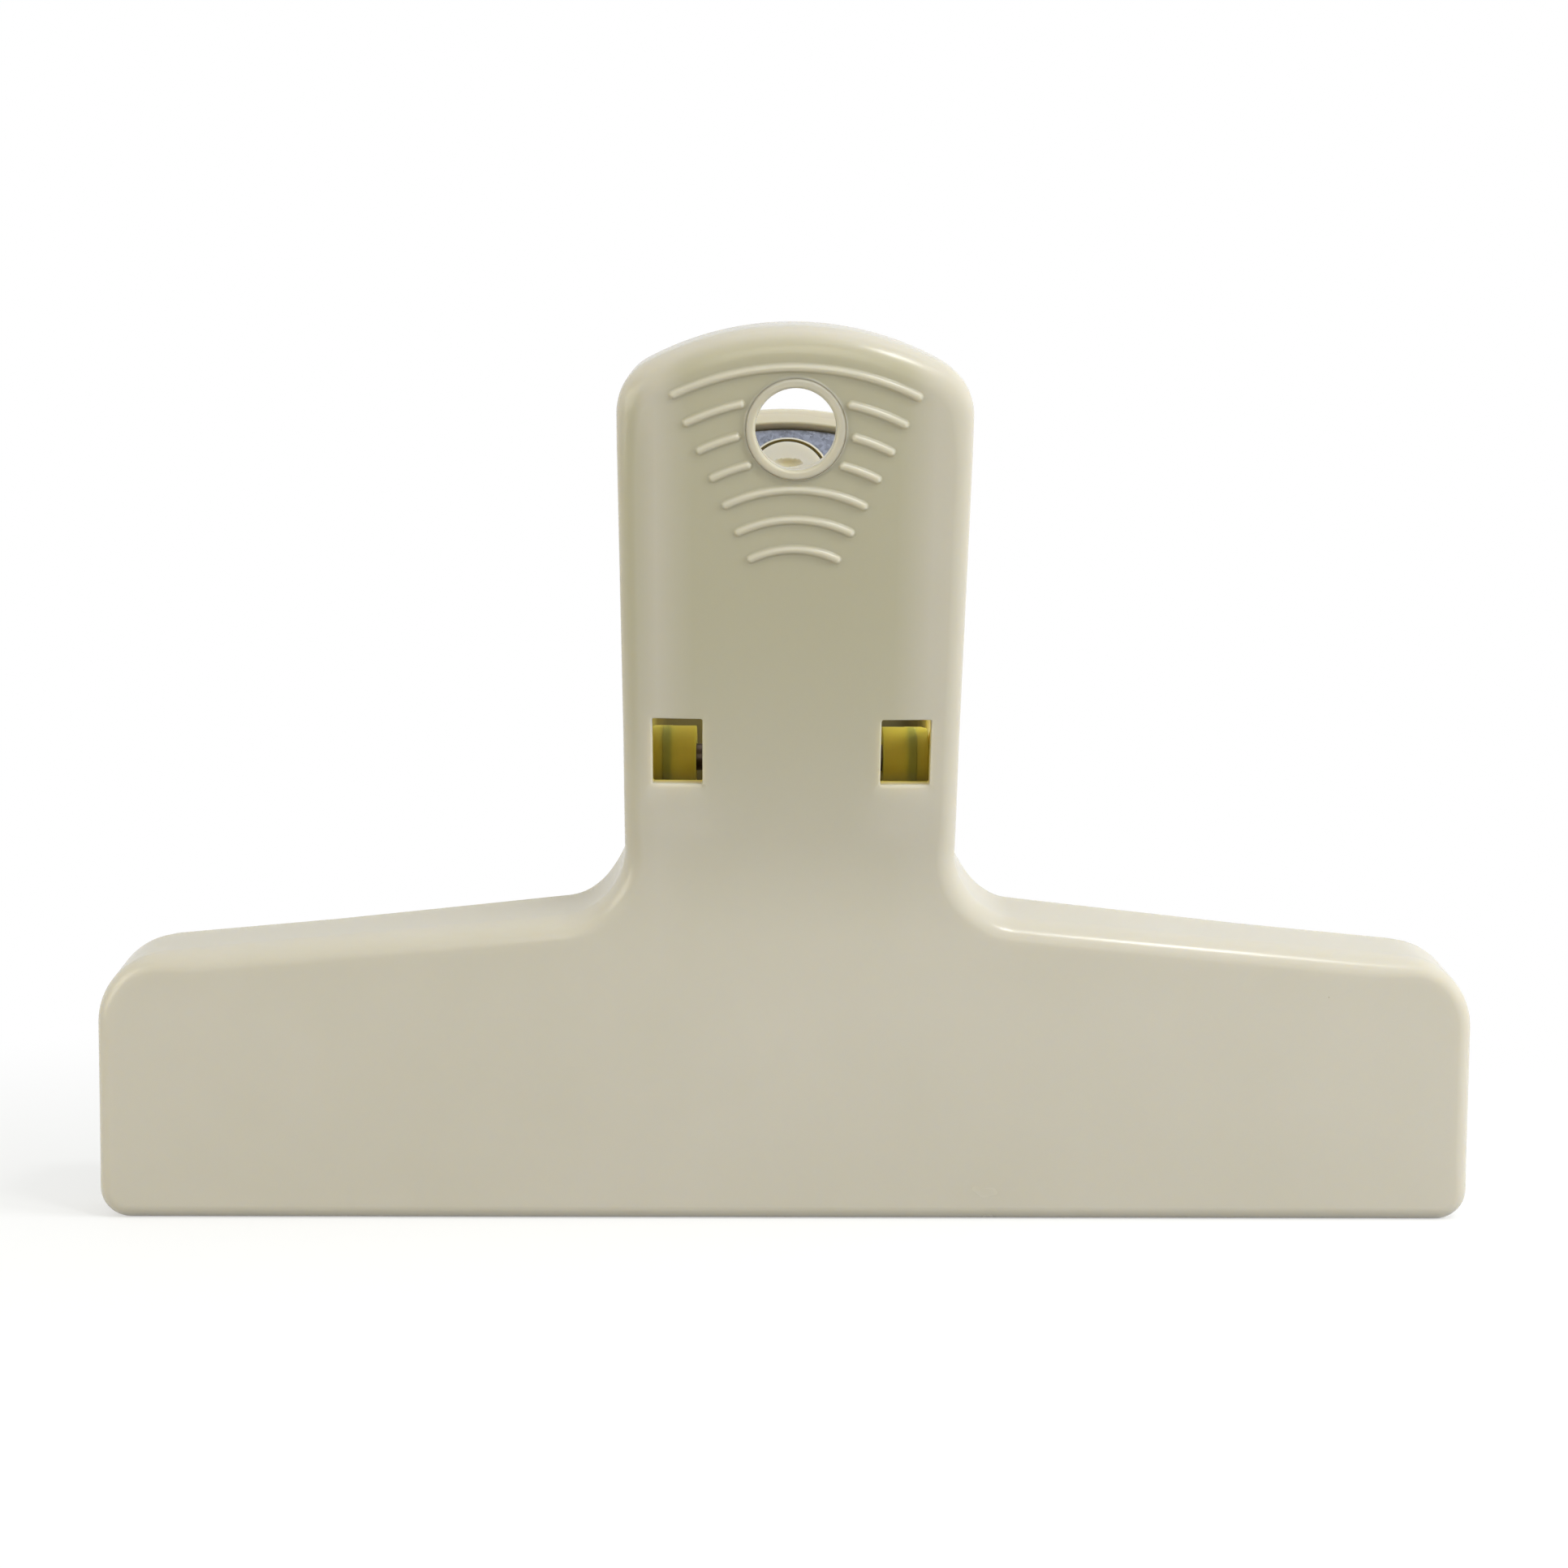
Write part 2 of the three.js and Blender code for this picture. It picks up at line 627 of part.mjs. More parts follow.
// The back paddle's own frame: s up along it and w towards the middle, as in the flat drawing.
const backPaddle = new THREE.Group();
const leanAngle = paddleLean * degrees;
backPaddle.rotation.x = Math.PI / 2 - leanAngle;
backPaddle.position.set(0, hingeDepth * Math.cos(leanAngle), -hingeDepth * Math.sin(leanAngle));
backPaddle.add(piece("magnet", magnet(), "#3a3a3c", 0.7, 0.1));
backPaddle.add(piece("magnet_plate", magnetPlate(), "#9aa3b0", 0.35, 0.9));
backPaddle.add(piece("magnet_rivet", magnetRivet(), ivory, 0.4, 0));

// Everything is placed from the hinge, which stands so high that the lips touch z = 0.
const clip = new THREE.Group();
clip.add(front, back, pin, spring, backPaddle);
const lowest = new THREE.Box3().setFromObject(front, true).min.z;
clip.position.z = -lowest;
console.log("hinge height, mm:", (-lowest).toFixed(3));

export default clip;
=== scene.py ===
import json
import math

import bpy
import numpy as np
from mathutils import Matrix, Vector
from mathutils.geometry import delaunay_2d_cdt


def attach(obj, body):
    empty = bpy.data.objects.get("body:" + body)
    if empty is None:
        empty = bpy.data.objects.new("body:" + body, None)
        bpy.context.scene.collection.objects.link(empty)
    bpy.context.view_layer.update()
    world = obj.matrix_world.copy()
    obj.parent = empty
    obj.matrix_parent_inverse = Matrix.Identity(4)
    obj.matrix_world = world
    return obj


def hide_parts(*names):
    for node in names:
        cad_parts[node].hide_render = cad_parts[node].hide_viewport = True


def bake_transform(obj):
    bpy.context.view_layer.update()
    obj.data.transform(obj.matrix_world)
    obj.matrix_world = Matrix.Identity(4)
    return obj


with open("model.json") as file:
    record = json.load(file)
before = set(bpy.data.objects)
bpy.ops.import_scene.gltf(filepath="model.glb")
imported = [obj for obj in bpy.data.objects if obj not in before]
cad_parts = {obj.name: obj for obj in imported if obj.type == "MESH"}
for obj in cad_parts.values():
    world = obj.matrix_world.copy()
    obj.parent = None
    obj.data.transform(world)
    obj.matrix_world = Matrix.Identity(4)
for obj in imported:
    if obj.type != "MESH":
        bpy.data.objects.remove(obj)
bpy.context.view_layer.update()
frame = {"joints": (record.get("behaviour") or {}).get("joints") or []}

mm = 0.001  # a millimetre in Blender's metres
metre = 1000  # a metre in millimetres, in which everything below is drawn
hingeHeight = frame["joints"][0]["pos_m"][2] * metre
quarter = math.pi / 2
touching = 1e-6  # nearer than this is the same place
tiniest = 1e-9
noLimit = 99.0  # more room than any inset asks for

camera = {
    "place": (-4.63, -218.19, 44.5),  # mm
    "pitch": -0.833,  # degrees, looking slightly up
    "turn": 1.068,
    "roll": 0.324,
    "focalPixels": 2391.7,
    "imagePixels": 1932,
    "sensor": 36,  # mm
    "sees": (0.01, 20),  # metres, from and to
}


def placeObject(name, data):
    thing = bpy.data.objects.new(name, data)
    bpy.context.scene.collection.objects.link(thing)
    return thing


def makeCamera():
    data = bpy.data.cameras.new("camera")
    data.sensor_width = camera["sensor"]
    data.lens = camera["sensor"] * camera["focalPixels"] / camera["imagePixels"]
    data.clip_start, data.clip_end = camera["sees"]
    view = placeObject("camera", data)
    pitch, turn, roll = (math.radians(camera[k]) for k in ("pitch", "turn", "roll"))
    forward = Vector((math.sin(turn) * math.cos(pitch), math.cos(turn) * math.cos(pitch), -math.sin(pitch)))
    right = Vector((math.cos(turn), -math.sin(turn), 0))
    up = right.cross(forward)
    right, up = right * math.cos(roll) + up * math.sin(roll), up * math.cos(roll) - right * math.sin(roll)
    axes = Matrix((right, up, -forward)).transposed().to_4x4()
    view.matrix_world = Matrix.Translation(Vector(camera["place"]) * mm) @ axes
    bpy.context.scene.camera = view


makeCamera()
print("camera set")

# How finely the shells are drawn: steps in mm, the rest are counts.
fineness = {
    "arcStep": 0.45,
    "arcLeast": 8,
    "lineStep": 0.9,
    "ribStep": 0.5,
    "rectangleStep": 0.6,
    "rowStep": 2.6,
    "rowMargins": (2, 0.5, 1.5),  # from the lip to the first row, and free of rows below and above the bend
    "columnStep": 1.9,
    "clearStep": 0.7,  # how far the points inside a face keep from its loops
    "bendRows": 15,
    "earRows": 15,
    "handleRows": 36,
    "earTop": 25,
    "earFlank": 7,
    "roundTurns": 9,  # in a wide rounding, then in a rim, a fillet and a rectangle's corner
    "rimTurns": 4,
    "filletTurns": 5,
    "cornerTurns": 7,
}


# A shell gathers points in the flat drawing: x across, s up the face, w into the tray.
def newShell():
    return {"points": [], "normals": [], "recess": [], "faces": [], "count": 0}


def addPoints(shell, points, normals, recess):
    points = np.asarray(points, float).reshape(-1, 3)
    first = shell["count"]
    shell["points"].append(points)
    shell["normals"].append(np.broadcast_to(np.asarray(normals, float), points.shape))
    shell["recess"].append(np.broadcast_to(np.asarray(recess, float), len(points)))
    shell["count"] += len(points)
    return np.arange(first, first + len(points))


def bridge(shell, low, high, skip=None):
    count = len(low)
    for i in range(count):
        k = (i + 1) % count
        if skip is None or not skip[i]:
            shell["faces"].append((low[i], low[k], high[k], high[i]))


def bridgeAll(shell, loops):
    for low, high in zip(loops, loops[1:]):
        bridge(shell, low, high)


def unit(vectors):
    return vectors / np.maximum(np.hypot(*vectors.T), tiniest)[:, None]


# The outer side of lines that run anticlockwise.
def outward(run):
    run = unit(run)
    return np.column_stack([run[:, 1], -run[:, 0]])


def insideOf(polygon, points):
    x, y = points[:, 0, None], points[:, 1, None]
    ax, ay = polygon[:, 0], polygon[:, 1]
    bx, by = np.roll(ax, -1), np.roll(ay, -1)
    spans = (ay > y) != (by > y)
    with np.errstate(divide="ignore", invalid="ignore"):
        cross = (bx - ax) * (y - ay) / (by - ay) + ax
    return (spans & (x < cross)).sum(1) % 2 == 1


def between(outer, holes, points):
    good = insideOf(outer, points)
    for hole in holes:
        good &= ~insideOf(hole, points)
    return good


# Fills a flat region between loops that are already in the shell; extra points make the bend smooth.
def fillRegion(shell, outer, holes, columns, extra=None, normal=None, recess=0.0, depth=0.0):
    allPoints = np.concatenate(shell["points"])
    loops = [np.asarray(outer)] + [np.asarray(h) for h in holes]
    flat = [allPoints[loop][:, columns] for loop in loops]
    index = np.concatenate(loops)
    coords = np.concatenate(flat)
    edges = []
    start = 0
    for loop in loops:
        edges += [(start + i, start + (i + 1) % len(loop)) for i in range(len(loop))]
        start += len(loop)
    if extra is not None:
        extra = extra[between(flat[0], flat[1:], extra)]
        near = np.array([np.min(np.hypot(*(coords - p).T)) for p in extra])
        extra = extra[near > fineness["clearStep"]]
        spots = np.column_stack([extra, np.full(len(extra), depth)])
        index = np.concatenate([index, addPoints(shell, spots, normal, recess)])
        coords = np.concatenate([coords, extra])
    result = delaunay_2d_cdt([Vector(c) for c in coords], edges, [], 0, touching)
    source = [o[0] for o in result[3]]
    triangles = [[source[v] for v in t] for t in result[2] if len(t) == 3]
    centres = np.array([(coords[a] + coords[b] + coords[c]) / 3 for a, b, c in triangles])
    for triangle, wanted in zip(triangles, between(flat[0], flat[1:], centres)):
        if wanted:
            shell["faces"].append(tuple(index[triangle]))


# The T outline and its bend, the same in both levers, in mm and degrees. The shoulder's wall leans fully
# between draftFull and draftFade below the hinge.
lever = {
    "jawWidth": 150.0,
    "jawReach": 47.6,
    "shoulderDrop": 14.0,  # below the hinge, at the waist
    "shoulderSlope": 5.2,
    "shoulderDraft": 14.4,
    "draftStart": 34.0,
    "draftFull": 22.0,
    "draftFade": 12.0,
    "draftDepth": (0.6, 2.6),  # where the wall starts to lean, into the tray
    "jawCorner": 7.7,
    "lipCorner": 3.4,
    "waistRadius": 7.5,
    "paddleWidth": 35.8,
    "paddleFlare": 0.3,  # on each side, at the top
    "paddleReach": 48.1,
    "backShorter": 1.2,  # the back handle ends this much lower
    "paddleCorner": 5.8,
    "topRadius": 32.5,
    "wall": 2.0,
    "sunk": 0.3,  # how far what stands on a wall reaches into it
    "fillet": 0.55,
    "rimEdge": 0.25,
    "edges": {"lip": 1.6, "end": 1.8, "shoulder": 2.5, "waist": 2.4, "side": 1.9, "top": 3.1},
    "edgeBlend": 5.0,  # the length over which one rounding passes into the next
    "edgeFlat": 0.9,  # from the rounded edge to the first loop on the side
    "paddleLean": 18.0,
    "jawLean": 4.5,
    "bendDrop": 5.7,  # below the hinge, where the bend begins
    "bendLength": 10.0,
    "hingeDepth": 12.3,  # from the face to the hinge's axis
    "paddleDepth": 8.0,  # from the face to the handle's rim
    "cushionStart": 7.0,
    "cushionDrop": 0.55,
    "cushionMost": 1.05,  # the fall goes on a little past the side, where the handle flares
    "lipGap": 0.3,  # between the rims of the closed levers
    "shoulderGap": 2.0,
    "earRadius": 3.4,
    "earFoot": 5.4,  # half the width of an ear where it leaves the rim
}
bendTop = -lever["bendDrop"]
bendBottom = bendTop - lever["bendLength"]
paddleHalf = lever["paddleWidth"] / 2
frontReach = lever["paddleReach"]
backReach = frontReach - lever["backShorter"]
frontFan = frontReach - lever["topRadius"]
backFan = backReach - lever["topRadius"]


def faceAt(s):
    steep, shallow = math.radians(lever["paddleLean"]), math.radians(lever["jawLean"])
    radius = lever["bendLength"] / (steep - shallow)
    depth = lever["hingeDepth"]
    s = np.asarray(s, float)
    bent = np.clip(bendTop - s, 0, lever["bendLength"])
    lean = steep - bent / radius
    above, below = np.maximum(s - bendTop, 0), np.minimum(s - bendBottom, 0)
    y = depth * math.cos(steep) + bendTop * math.sin(steep) - radius * (np.cos(lean) - math.cos(steep))
    z = -depth * math.sin(steep) + bendTop * math.cos(steep) - radius * (math.sin(steep) - np.sin(lean))
    y = y + above * math.sin(steep) + below * math.sin(shallow)
    z = z + above * math.cos(steep) + below * math.cos(shallow)
    return lean, y, z


def smoothStep(value, low, high):
    t = np.clip((value - low) / (high - low), 0, 1)
    return t * t * (3 - 2 * t)


# How far the leaning shoulder walls move a point up the face.
def draftRise(s, w):
    low, high = lever["draftDepth"]
    deep = np.where(w < high, np.maximum(w - low, 0) ** 2 / (2 * (high - low)), w - (low + high) / 2)
    start = smoothStep(s, -lever["draftStart"], -lever["draftFull"])
    fade = 1 - smoothStep(s, -lever["draftFade"], -lever["earFoot"])
    return deep * math.tan(math.radians(lever["shoulderDraft"])) * start * fade


# The paddle's face falls away softly towards its two sides.
def cushion(x, s, w):
    start = lever["cushionStart"]
    toSide = np.clip((np.abs(x) - start) / (paddleHalf - start), 0, lever["cushionMost"])
    above = smoothStep(s, bendTop, lever["earFoot"])
    return lever["cushionDrop"] * toSide ** 2 * above * np.clip(1 - w / lever["wall"], 0, 1)


# Where flat points stand on the front (-1) or back (+1) side of the middle.
def stand(points, side):
    x, s, w = points.T
    lean, y, z = faceAt(s + draftRise(s, w))
    w = w + cushion(x, s, w)
    return np.column_stack([x, side * (y - w * np.cos(lean)), z + w * np.sin(lean) + hingeHeight])


# Stands points and turns their normals along with them.
def bend(points, normals, side):
    tiny = 0.002
    moves = []
    for step in np.eye(3) * tiny:
        moves.append((stand(points + step, side) - stand(points - step, side)) / (2 * tiny))
    grid = np.stack(moves, axis=2)
    turned = np.linalg.solve(grid.transpose(0, 2, 1), normals[:, :, None])[:, :, 0]
    return stand(points, side), turned / np.linalg.norm(turned, axis=1)[:, None]


# Points, outward normals, edge rounding and room for insets all round the T, anticlockwise.
def outlineLoop(reach, withEars):
    slope = math.radians(lever["shoulderSlope"])
    side, end = paddleHalf, lever["jawWidth"] / 2

    def shoulderAt(x):
        return -lever["shoulderDrop"] - (x - side) * math.tan(slope)

    rLip, rJaw, rWaist = lever["lipCorner"], lever["jawCorner"], lever["waistRadius"]
    rTop, rCorner = lever["topRadius"], lever["paddleCorner"]
    jawX = end - rJaw
    waistX = side + rWaist
    waistS = shoulderAt(waistX) + rWaist / math.cos(slope)
    cornerX = side + lever["paddleFlare"] - rCorner
    fan = reach - rTop
    cornerS = fan + math.sqrt((rTop - rCorner) ** 2 - cornerX ** 2)
    turn = math.atan2(cornerS - fan, cornerX)
    tilt = quarter - slope
    arcs = [
        ("lip", end - rLip, -lever["jawReach"] + rLip, rLip, -quarter, 0.0, 1),
        ("end", jawX, shoulderAt(jawX) - rJaw / math.cos(slope), rJaw, 0.0, tilt, 1),
        ("waist", waistX, waistS, rWaist, tilt - math.pi, -math.pi, -1),
        ("top", cornerX, cornerS, rCorner, 0.0, turn, 1),
        ("top", 0.0, fan, rTop, turn, quarter, 1),
    ]
    lines = ["lip", "end", "shoulder", "side", None]  # what lies before each arc
    edges, foot = lever["edges"], lever["earFoot"]
    rows = [[0.0, -lever["jawReach"], 0.0, -1.0, edges["lip"], noLimit]]
    for (name, x, s, r, a0, a1, sign), line in zip(arcs, lines):
        count = max(fineness["arcLeast"], int(abs(a1 - a0) * r / fineness["arcStep"]))
        angles = np.linspace(a0, a1, count + 1)
        arc = np.column_stack([x + r * np.cos(angles), s + r * np.sin(angles)])
        arcNormals = sign * np.column_stack([np.cos(angles), np.sin(angles)])
        if line:
            a, b = np.array(rows[-1][:2]), arc[0]
            steps = np.linspace(0, 1, int(np.hypot(*(b - a)) / fineness["lineStep"]) + 2)[1:-1]
            if line == "side":
                low, high = a[1], b[1]
                ear = earRim()[1:-1, 0] if withEars else np.linspace(-foot, foot, fineness["earRows"])[1:-1]
                above = np.linspace(foot, high, fineness["handleRows"])[:-1]
                steps = (np.concatenate([np.linspace(low, -foot, 3)[1:], ear, above]) - low) / (high - low)
            for t in steps:
                spot = a + (b - a) * t
                if line == "side":
                    spot[0] = side + lever["paddleFlare"] * np.clip((spot[1] - foot) / (cornerS - foot), 0, 1)
                rows.append([*spot, *arcNormals[0], edges[line], noLimit])
        skip = 0 if line else 1
        for p, n in zip(arc[skip:], arcNormals[skip:]):
            rows.append([*p, *n, edges[name], r if sign > 0 else noLimit])
    right = np.array(rows)
    left = right[1:-1][::-1] * np.array([-1, 1, -1, 1, 1, 1])
    loop = np.concatenate([right, left])
    return loop[:, :2], loop[:, 2:4], smoothed(loop[:, 4], loop[:, :2], lever["edgeBlend"]), loop[:, 5]


# Evens a value out along a closed loop over a length.
def smoothed(values, points, reach):
    lengths = np.hypot(*(np.roll(points, -1, 0) - points).T)
    place = np.concatenate([[0], np.cumsum(lengths)[:-1]])
    total = lengths.sum()
    gap = np.abs(place[:, None] - place[None, :])
    gap = np.minimum(gap, total - gap)
    weight = np.exp(-0.5 * (gap / (reach / 2)) ** 2) * lengths[None, :]
    return (weight * values[None, :]).sum(1) / weight.sum(1)


# (s, w) points over an ear, from its lower foot to its upper foot.
def earRim():
    r, foot, base, axis = lever["earRadius"], lever["earFoot"], lever["paddleDepth"], lever["hingeDepth"]
    toFoot = math.hypot(foot, axis - base)
    lift = math.acos(r / toFoot) - math.atan2(axis - base, foot)
    angles = np.linspace(math.pi - lift, lift, fineness["earTop"])
    top = np.column_stack([r * np.cos(angles), axis + r * np.sin(angles)])
    flank = np.linspace([-foot, base], top[0], fineness["earFlank"])[:-1]
    other = np.linspace(top[-1], [foot, base], fineness["earFlank"])[1:]
    return np.concatenate([flank, top, other])


# Which points of the outline lie on an ear's flat side.
def onEar(points):
    atSide = np.abs(np.abs(points[:, 0]) - paddleHalf) < touching
    return atSide & (np.abs(points[:, 1]) <= lever["earFoot"] + touching)


# How deep the tray's rim lies at each point of the outline.
def rimDepth(points, withEars):
    lean = math.radians(lever["jawLean"])
    low = (float(faceAt(-lever["jawReach"])[1]) - lever["lipGap"] / 2) / math.cos(lean)
    high = (float(faceAt(bendBottom)[1]) - lever["shoulderGap"] / 2) / math.cos(lean)
    stops = [-lever["jawReach"], bendBottom, bendTop, lever["paddleReach"]]
    depth = np.interp(points[:, 1], stops, [low, high, lever["paddleDepth"], lever["paddleDepth"]])
    if withEars:
        ear = earRim()
        for i in np.where(onEar(points))[0]:
            depth[i] = ear[np.argmin(np.abs(ear[:, 0] - points[i, 1])), 1]
    return depth


# How golden the inner faces and the inner edge of the rim look, from 0 to 1: painted shade, tinted for the
# light that comes through the plastic.
insideShade = 0.2
rimShade = 0.1


# The tray that both levers start from. cuts are the holes through the web, arcs the raised ribs on the face.
def addTray(shell, reach, withEars, cuts, arcs=()):
    base, normals, rounding, room = outlineLoop(reach, withEars)
    wall, fillet, edge = lever["wall"], lever["fillet"], lever["rimEdge"]
    rim = rimDepth(base, withEars)
    along = np.column_stack([-normals[:, 1], normals[:, 0]])
    step = np.hypot(*(np.roll(base, -1, 0) - np.roll(base, 1, 0)).T)
    rise = np.roll(rim, -1) - np.roll(rim, 1)
    size = np.hypot(step, rise)
    rimNormals = np.column_stack([along * (-rise / size)[:, None], step / size])
    least = 0.2  # the tightest radius that an inset leaves of a corner
    loops = []

    def inset(amount):
        amount = np.broadcast_to(amount, rim.shape)
        inCorner = room < noLimit
        shift = np.where(inCorner, np.maximum(room - amount, least) - (room - amount), 0)
        moved = base - normals * np.minimum(amount, np.where(inCorner, room - least, noLimit))[:, None]
        moved[:, 0] -= shift * np.sign(base[:, 0])
        moved[:, 1] += shift
        return moved

    def loop(amount, depth, out, down, recess, drop=None):
        spot = np.column_stack([inset(amount), np.broadcast_to(depth, rim.shape)])
        if drop is not None:
            spot = spot - rimNormals * drop
        face = np.column_stack([normals * out, np.zeros(len(rim))])
        face = face + (rimNormals * down if drop is not None else np.array([0, 0, down]))
        loops.append(addPoints(shell, spot, face, recess))

    for t in np.linspace(0, quarter, fineness["roundTurns"]):
        loop(rounding * (1 - math.sin(t)), rounding * (1 - math.cos(t)), math.sin(t), -math.cos(t), 0.0)
    loop(0.0, rounding + lever["edgeFlat"], 1.0, 0.0, 0.0)
    outerSide = len(loops) - 1
    turns = np.linspace(0, quarter, fineness["rimTurns"])
    for t in turns:
        loop(edge * (1 - math.cos(t)), rim, math.cos(t), math.sin(t), 0.0, edge * (1 - math.sin(t)))
    for t in turns[::-1]:
        inward = wall - edge * (1 - math.cos(t))
        loop(inward, rim, -math.cos(t), math.sin(t), rimShade, edge * (1 - math.sin(t)))
    innerSide = len(loops) - 1
    for t in np.linspace(0, quarter, fineness["filletTurns"]):
        inward, depth = wall + fillet * (1 - math.cos(t)), wall + fillet * (1 - math.sin(t))
        loop(inward, depth, -math.cos(t), math.sin(t), insideShade)

    # in the front lever's ears the side is flat and holds the pin hole
    ears = onEar(base) if withEars else np.zeros(len(rim), bool)
    skip = ears & np.roll(ears, -1)
    for i in range(len(loops) - 1):
        bridge(shell, loops[i], loops[i + 1], skip if i in (outerSide, innerSide) else None)
    if withEars:
        for sideX in (1, -1):
            members = np.where(ears & (np.sign(base[:, 0]) == sideX))[0]
            flats = []
            for low, high in ((outerSide, outerSide + 1), (innerSide + 1, innerSide)):
                flats.append(np.concatenate([loops[low][members], loops[high][members][::-1]]))
            addPinHole(shell, flats, sideX)
    face = [addCut(shell, cut) for cut in cuts]
    feet = [addRib(shell, *arc) for arc in arcs]
    grid = gridPoints()
    fillRegion(shell, loops[0], [f[0] for f in face] + feet, [0, 1], grid, (0, 0, -1), 0.0, 0.0)
    fillRegion(shell, loops[-1], [f[1] for f in face], [0, 1], grid, (0, 0, 1), insideShade, wall)


# Points over the face: rows close together in the bend, wider elsewhere.
def gridPoints():
    step, (lip, below, above) = fineness["rowStep"], fineness["rowMargins"]
    rows = np.concatenate([
        np.arange(-lever["jawReach"] + lip, bendBottom - below, step),
        np.linspace(bendBottom, bendTop, fineness["bendRows"]),
        np.arange(bendTop + above, lever["paddleReach"], step),
    ])
    half = lever["jawWidth"] / 2
    across = np.arange(-half, half, fineness["columnStep"])
    return np.array([[x, s] for s in rows for x in across])


pinHole = {
    "radius": 1.8,
    "edge": 0.15,
    "sides": 36,
    # painted golden shade in the pin hole
    "shade": (0.2, 0.6),  # at its outer edge, and further in
}


def addPinHole(shell, flats, sideX):
    circle = circleLoop(0, 0, 1, pinHole["sides"])[1]
    r, e, wall = pinHole["radius"], pinHole["edge"], lever["wall"]
    rings = []
    for x, radius, out in ((0, r + e, 1), (e, r, 0), (wall - e, r, 0), (wall, r + e, -1)):
        spots = np.column_stack([
            np.full(len(circle), sideX * (paddleHalf - x)),
            circle[:, 0] * radius,
            lever["hingeDepth"] + circle[:, 1] * radius,
        ])
        face = np.column_stack([np.full(len(circle), sideX * out), -circle * (1 - abs(out))])
        rings.append(addPoints(shell, spots, face, pinHole["shade"][0 if out == 1 else 1]))
    bridgeAll(shell, rings)
    for ring, flat in zip((rings[0], rings[-1]), flats):
        fillRegion(shell, flat, [ring], [1, 2])


# A rounded rectangle: points and normals that point out of it.
def rectangleLoop(x0, x1, s0, s1, radius):
    corners = [(x1, s0, -quarter), (x1, s1, 0.0), (x0, s1, quarter), (x0, s0, 2 * quarter)]
    points, normals = [], []
    for x, s, start in corners:
        cx = x - radius if x == x1 else x + radius
        cs = s - radius if s == s1 else s + radius
        for a in np.linspace(start, start + quarter, fineness["cornerTurns"]):
            points.append([cx + radius * math.cos(a), cs + radius * math.sin(a)])
            normals.append([math.cos(a), math.sin(a)])
    points, normals = np.array(points), np.array(normals)
    step, straight = fineness["rectangleStep"], 0.99
    full, fullNormals = [], []
    for i in range(len(points)):
        k = (i + 1) % len(points)
        full.append(points[i])
        fullNormals.append(normals[i])
        length = np.hypot(*(points[k] - points[i]))
        if length > 2 * step and np.dot(normals[i], normals[k]) > straight:
            for t in np.linspace(0, 1, int(length / step) + 1)[1:-1]:
                full.append(points[i] * (1 - t) + points[k] * t)
                fullNormals.append(normals[i])
    return np.array(full), np.array(fullNormals)


def circleLoop(x, s, radius, sides):
    angles = np.linspace(0, 2 * math.pi, sides, endpoint=False)
    normals = np.column_stack([np.cos(angles), np.sin(angles)])
    return np.array([x, s]) + radius * normals, normals


# A cut is a loop with the rounding of its two edges, and for the hang hole the raised ring round it.
def addCut(shell, cut):
    points, normals = cut["loop"]
    wall, inner, shade = lever["wall"], cut["inner"], cut.get("shade", insideShade)
    outer = np.broadcast_to(cut["edge"], len(points))
    sink = np.broadcast_to(cut.get("sink", cut["edge"]), len(points))
    loops = []

    def loop(out, depth, across, down, recess):
        spot = np.column_stack([points + normals * np.broadcast_to(out, len(points))[:, None],
                                np.broadcast_to(depth, len(points))])
        across, down = np.broadcast_to(across, len(points)), np.broadcast_to(down, len(points))
        face = np.column_stack([-normals * across[:, None], down])
        loops.append(addPoints(shell, spot, face, recess))

    if "ring" in cut:
        width, height, soft, foot = (cut["ring"][k] for k in ("width", "height", "soft", "foot"))
        for t in np.linspace(0, quarter, fineness["rimTurns"]):
            loop(width + foot * (1 - math.sin(t)), -foot * (1 - math.cos(t)), -math.sin(t), -math.cos(t), 0.0)
        for t in np.linspace(quarter, 0, fineness["filletTurns"]):
            depth = -height + soft * (1 - math.cos(t))
            loop(width - soft * (1 - math.sin(t)), depth, -math.sin(t), -math.cos(t), 0.0)
        for t in np.linspace(0, quarter, fineness["filletTurns"]):
            depth = -height + soft * (1 - math.cos(t))
            loop(soft * (1 - math.sin(t)), depth, math.sin(t), -math.cos(t), 0.0)
    else:
        for t in np.linspace(0, quarter, fineness["roundTurns"]):
            depth = sink * (1 - math.cos(t))
            loop(outer * (1 - math.sin(t)), depth, sink * math.sin(t), -outer * math.cos(t), 0.0)
    for t in np.linspace(0, quarter, fineness["rimTurns"]):
        loop(inner * (1 - math.cos(t)), wall - inner * (1 - math.sin(t)), math.cos(t), math.sin(t), shade)
    bridgeAll(shell, loops)
    return loops[0], loops[-1]


# Which of x, s, w are the two flat ones of a plate or a turning, and then its thickness.
throughFace = (0, 1, 2)
acrossClip = (1, 2, 0)


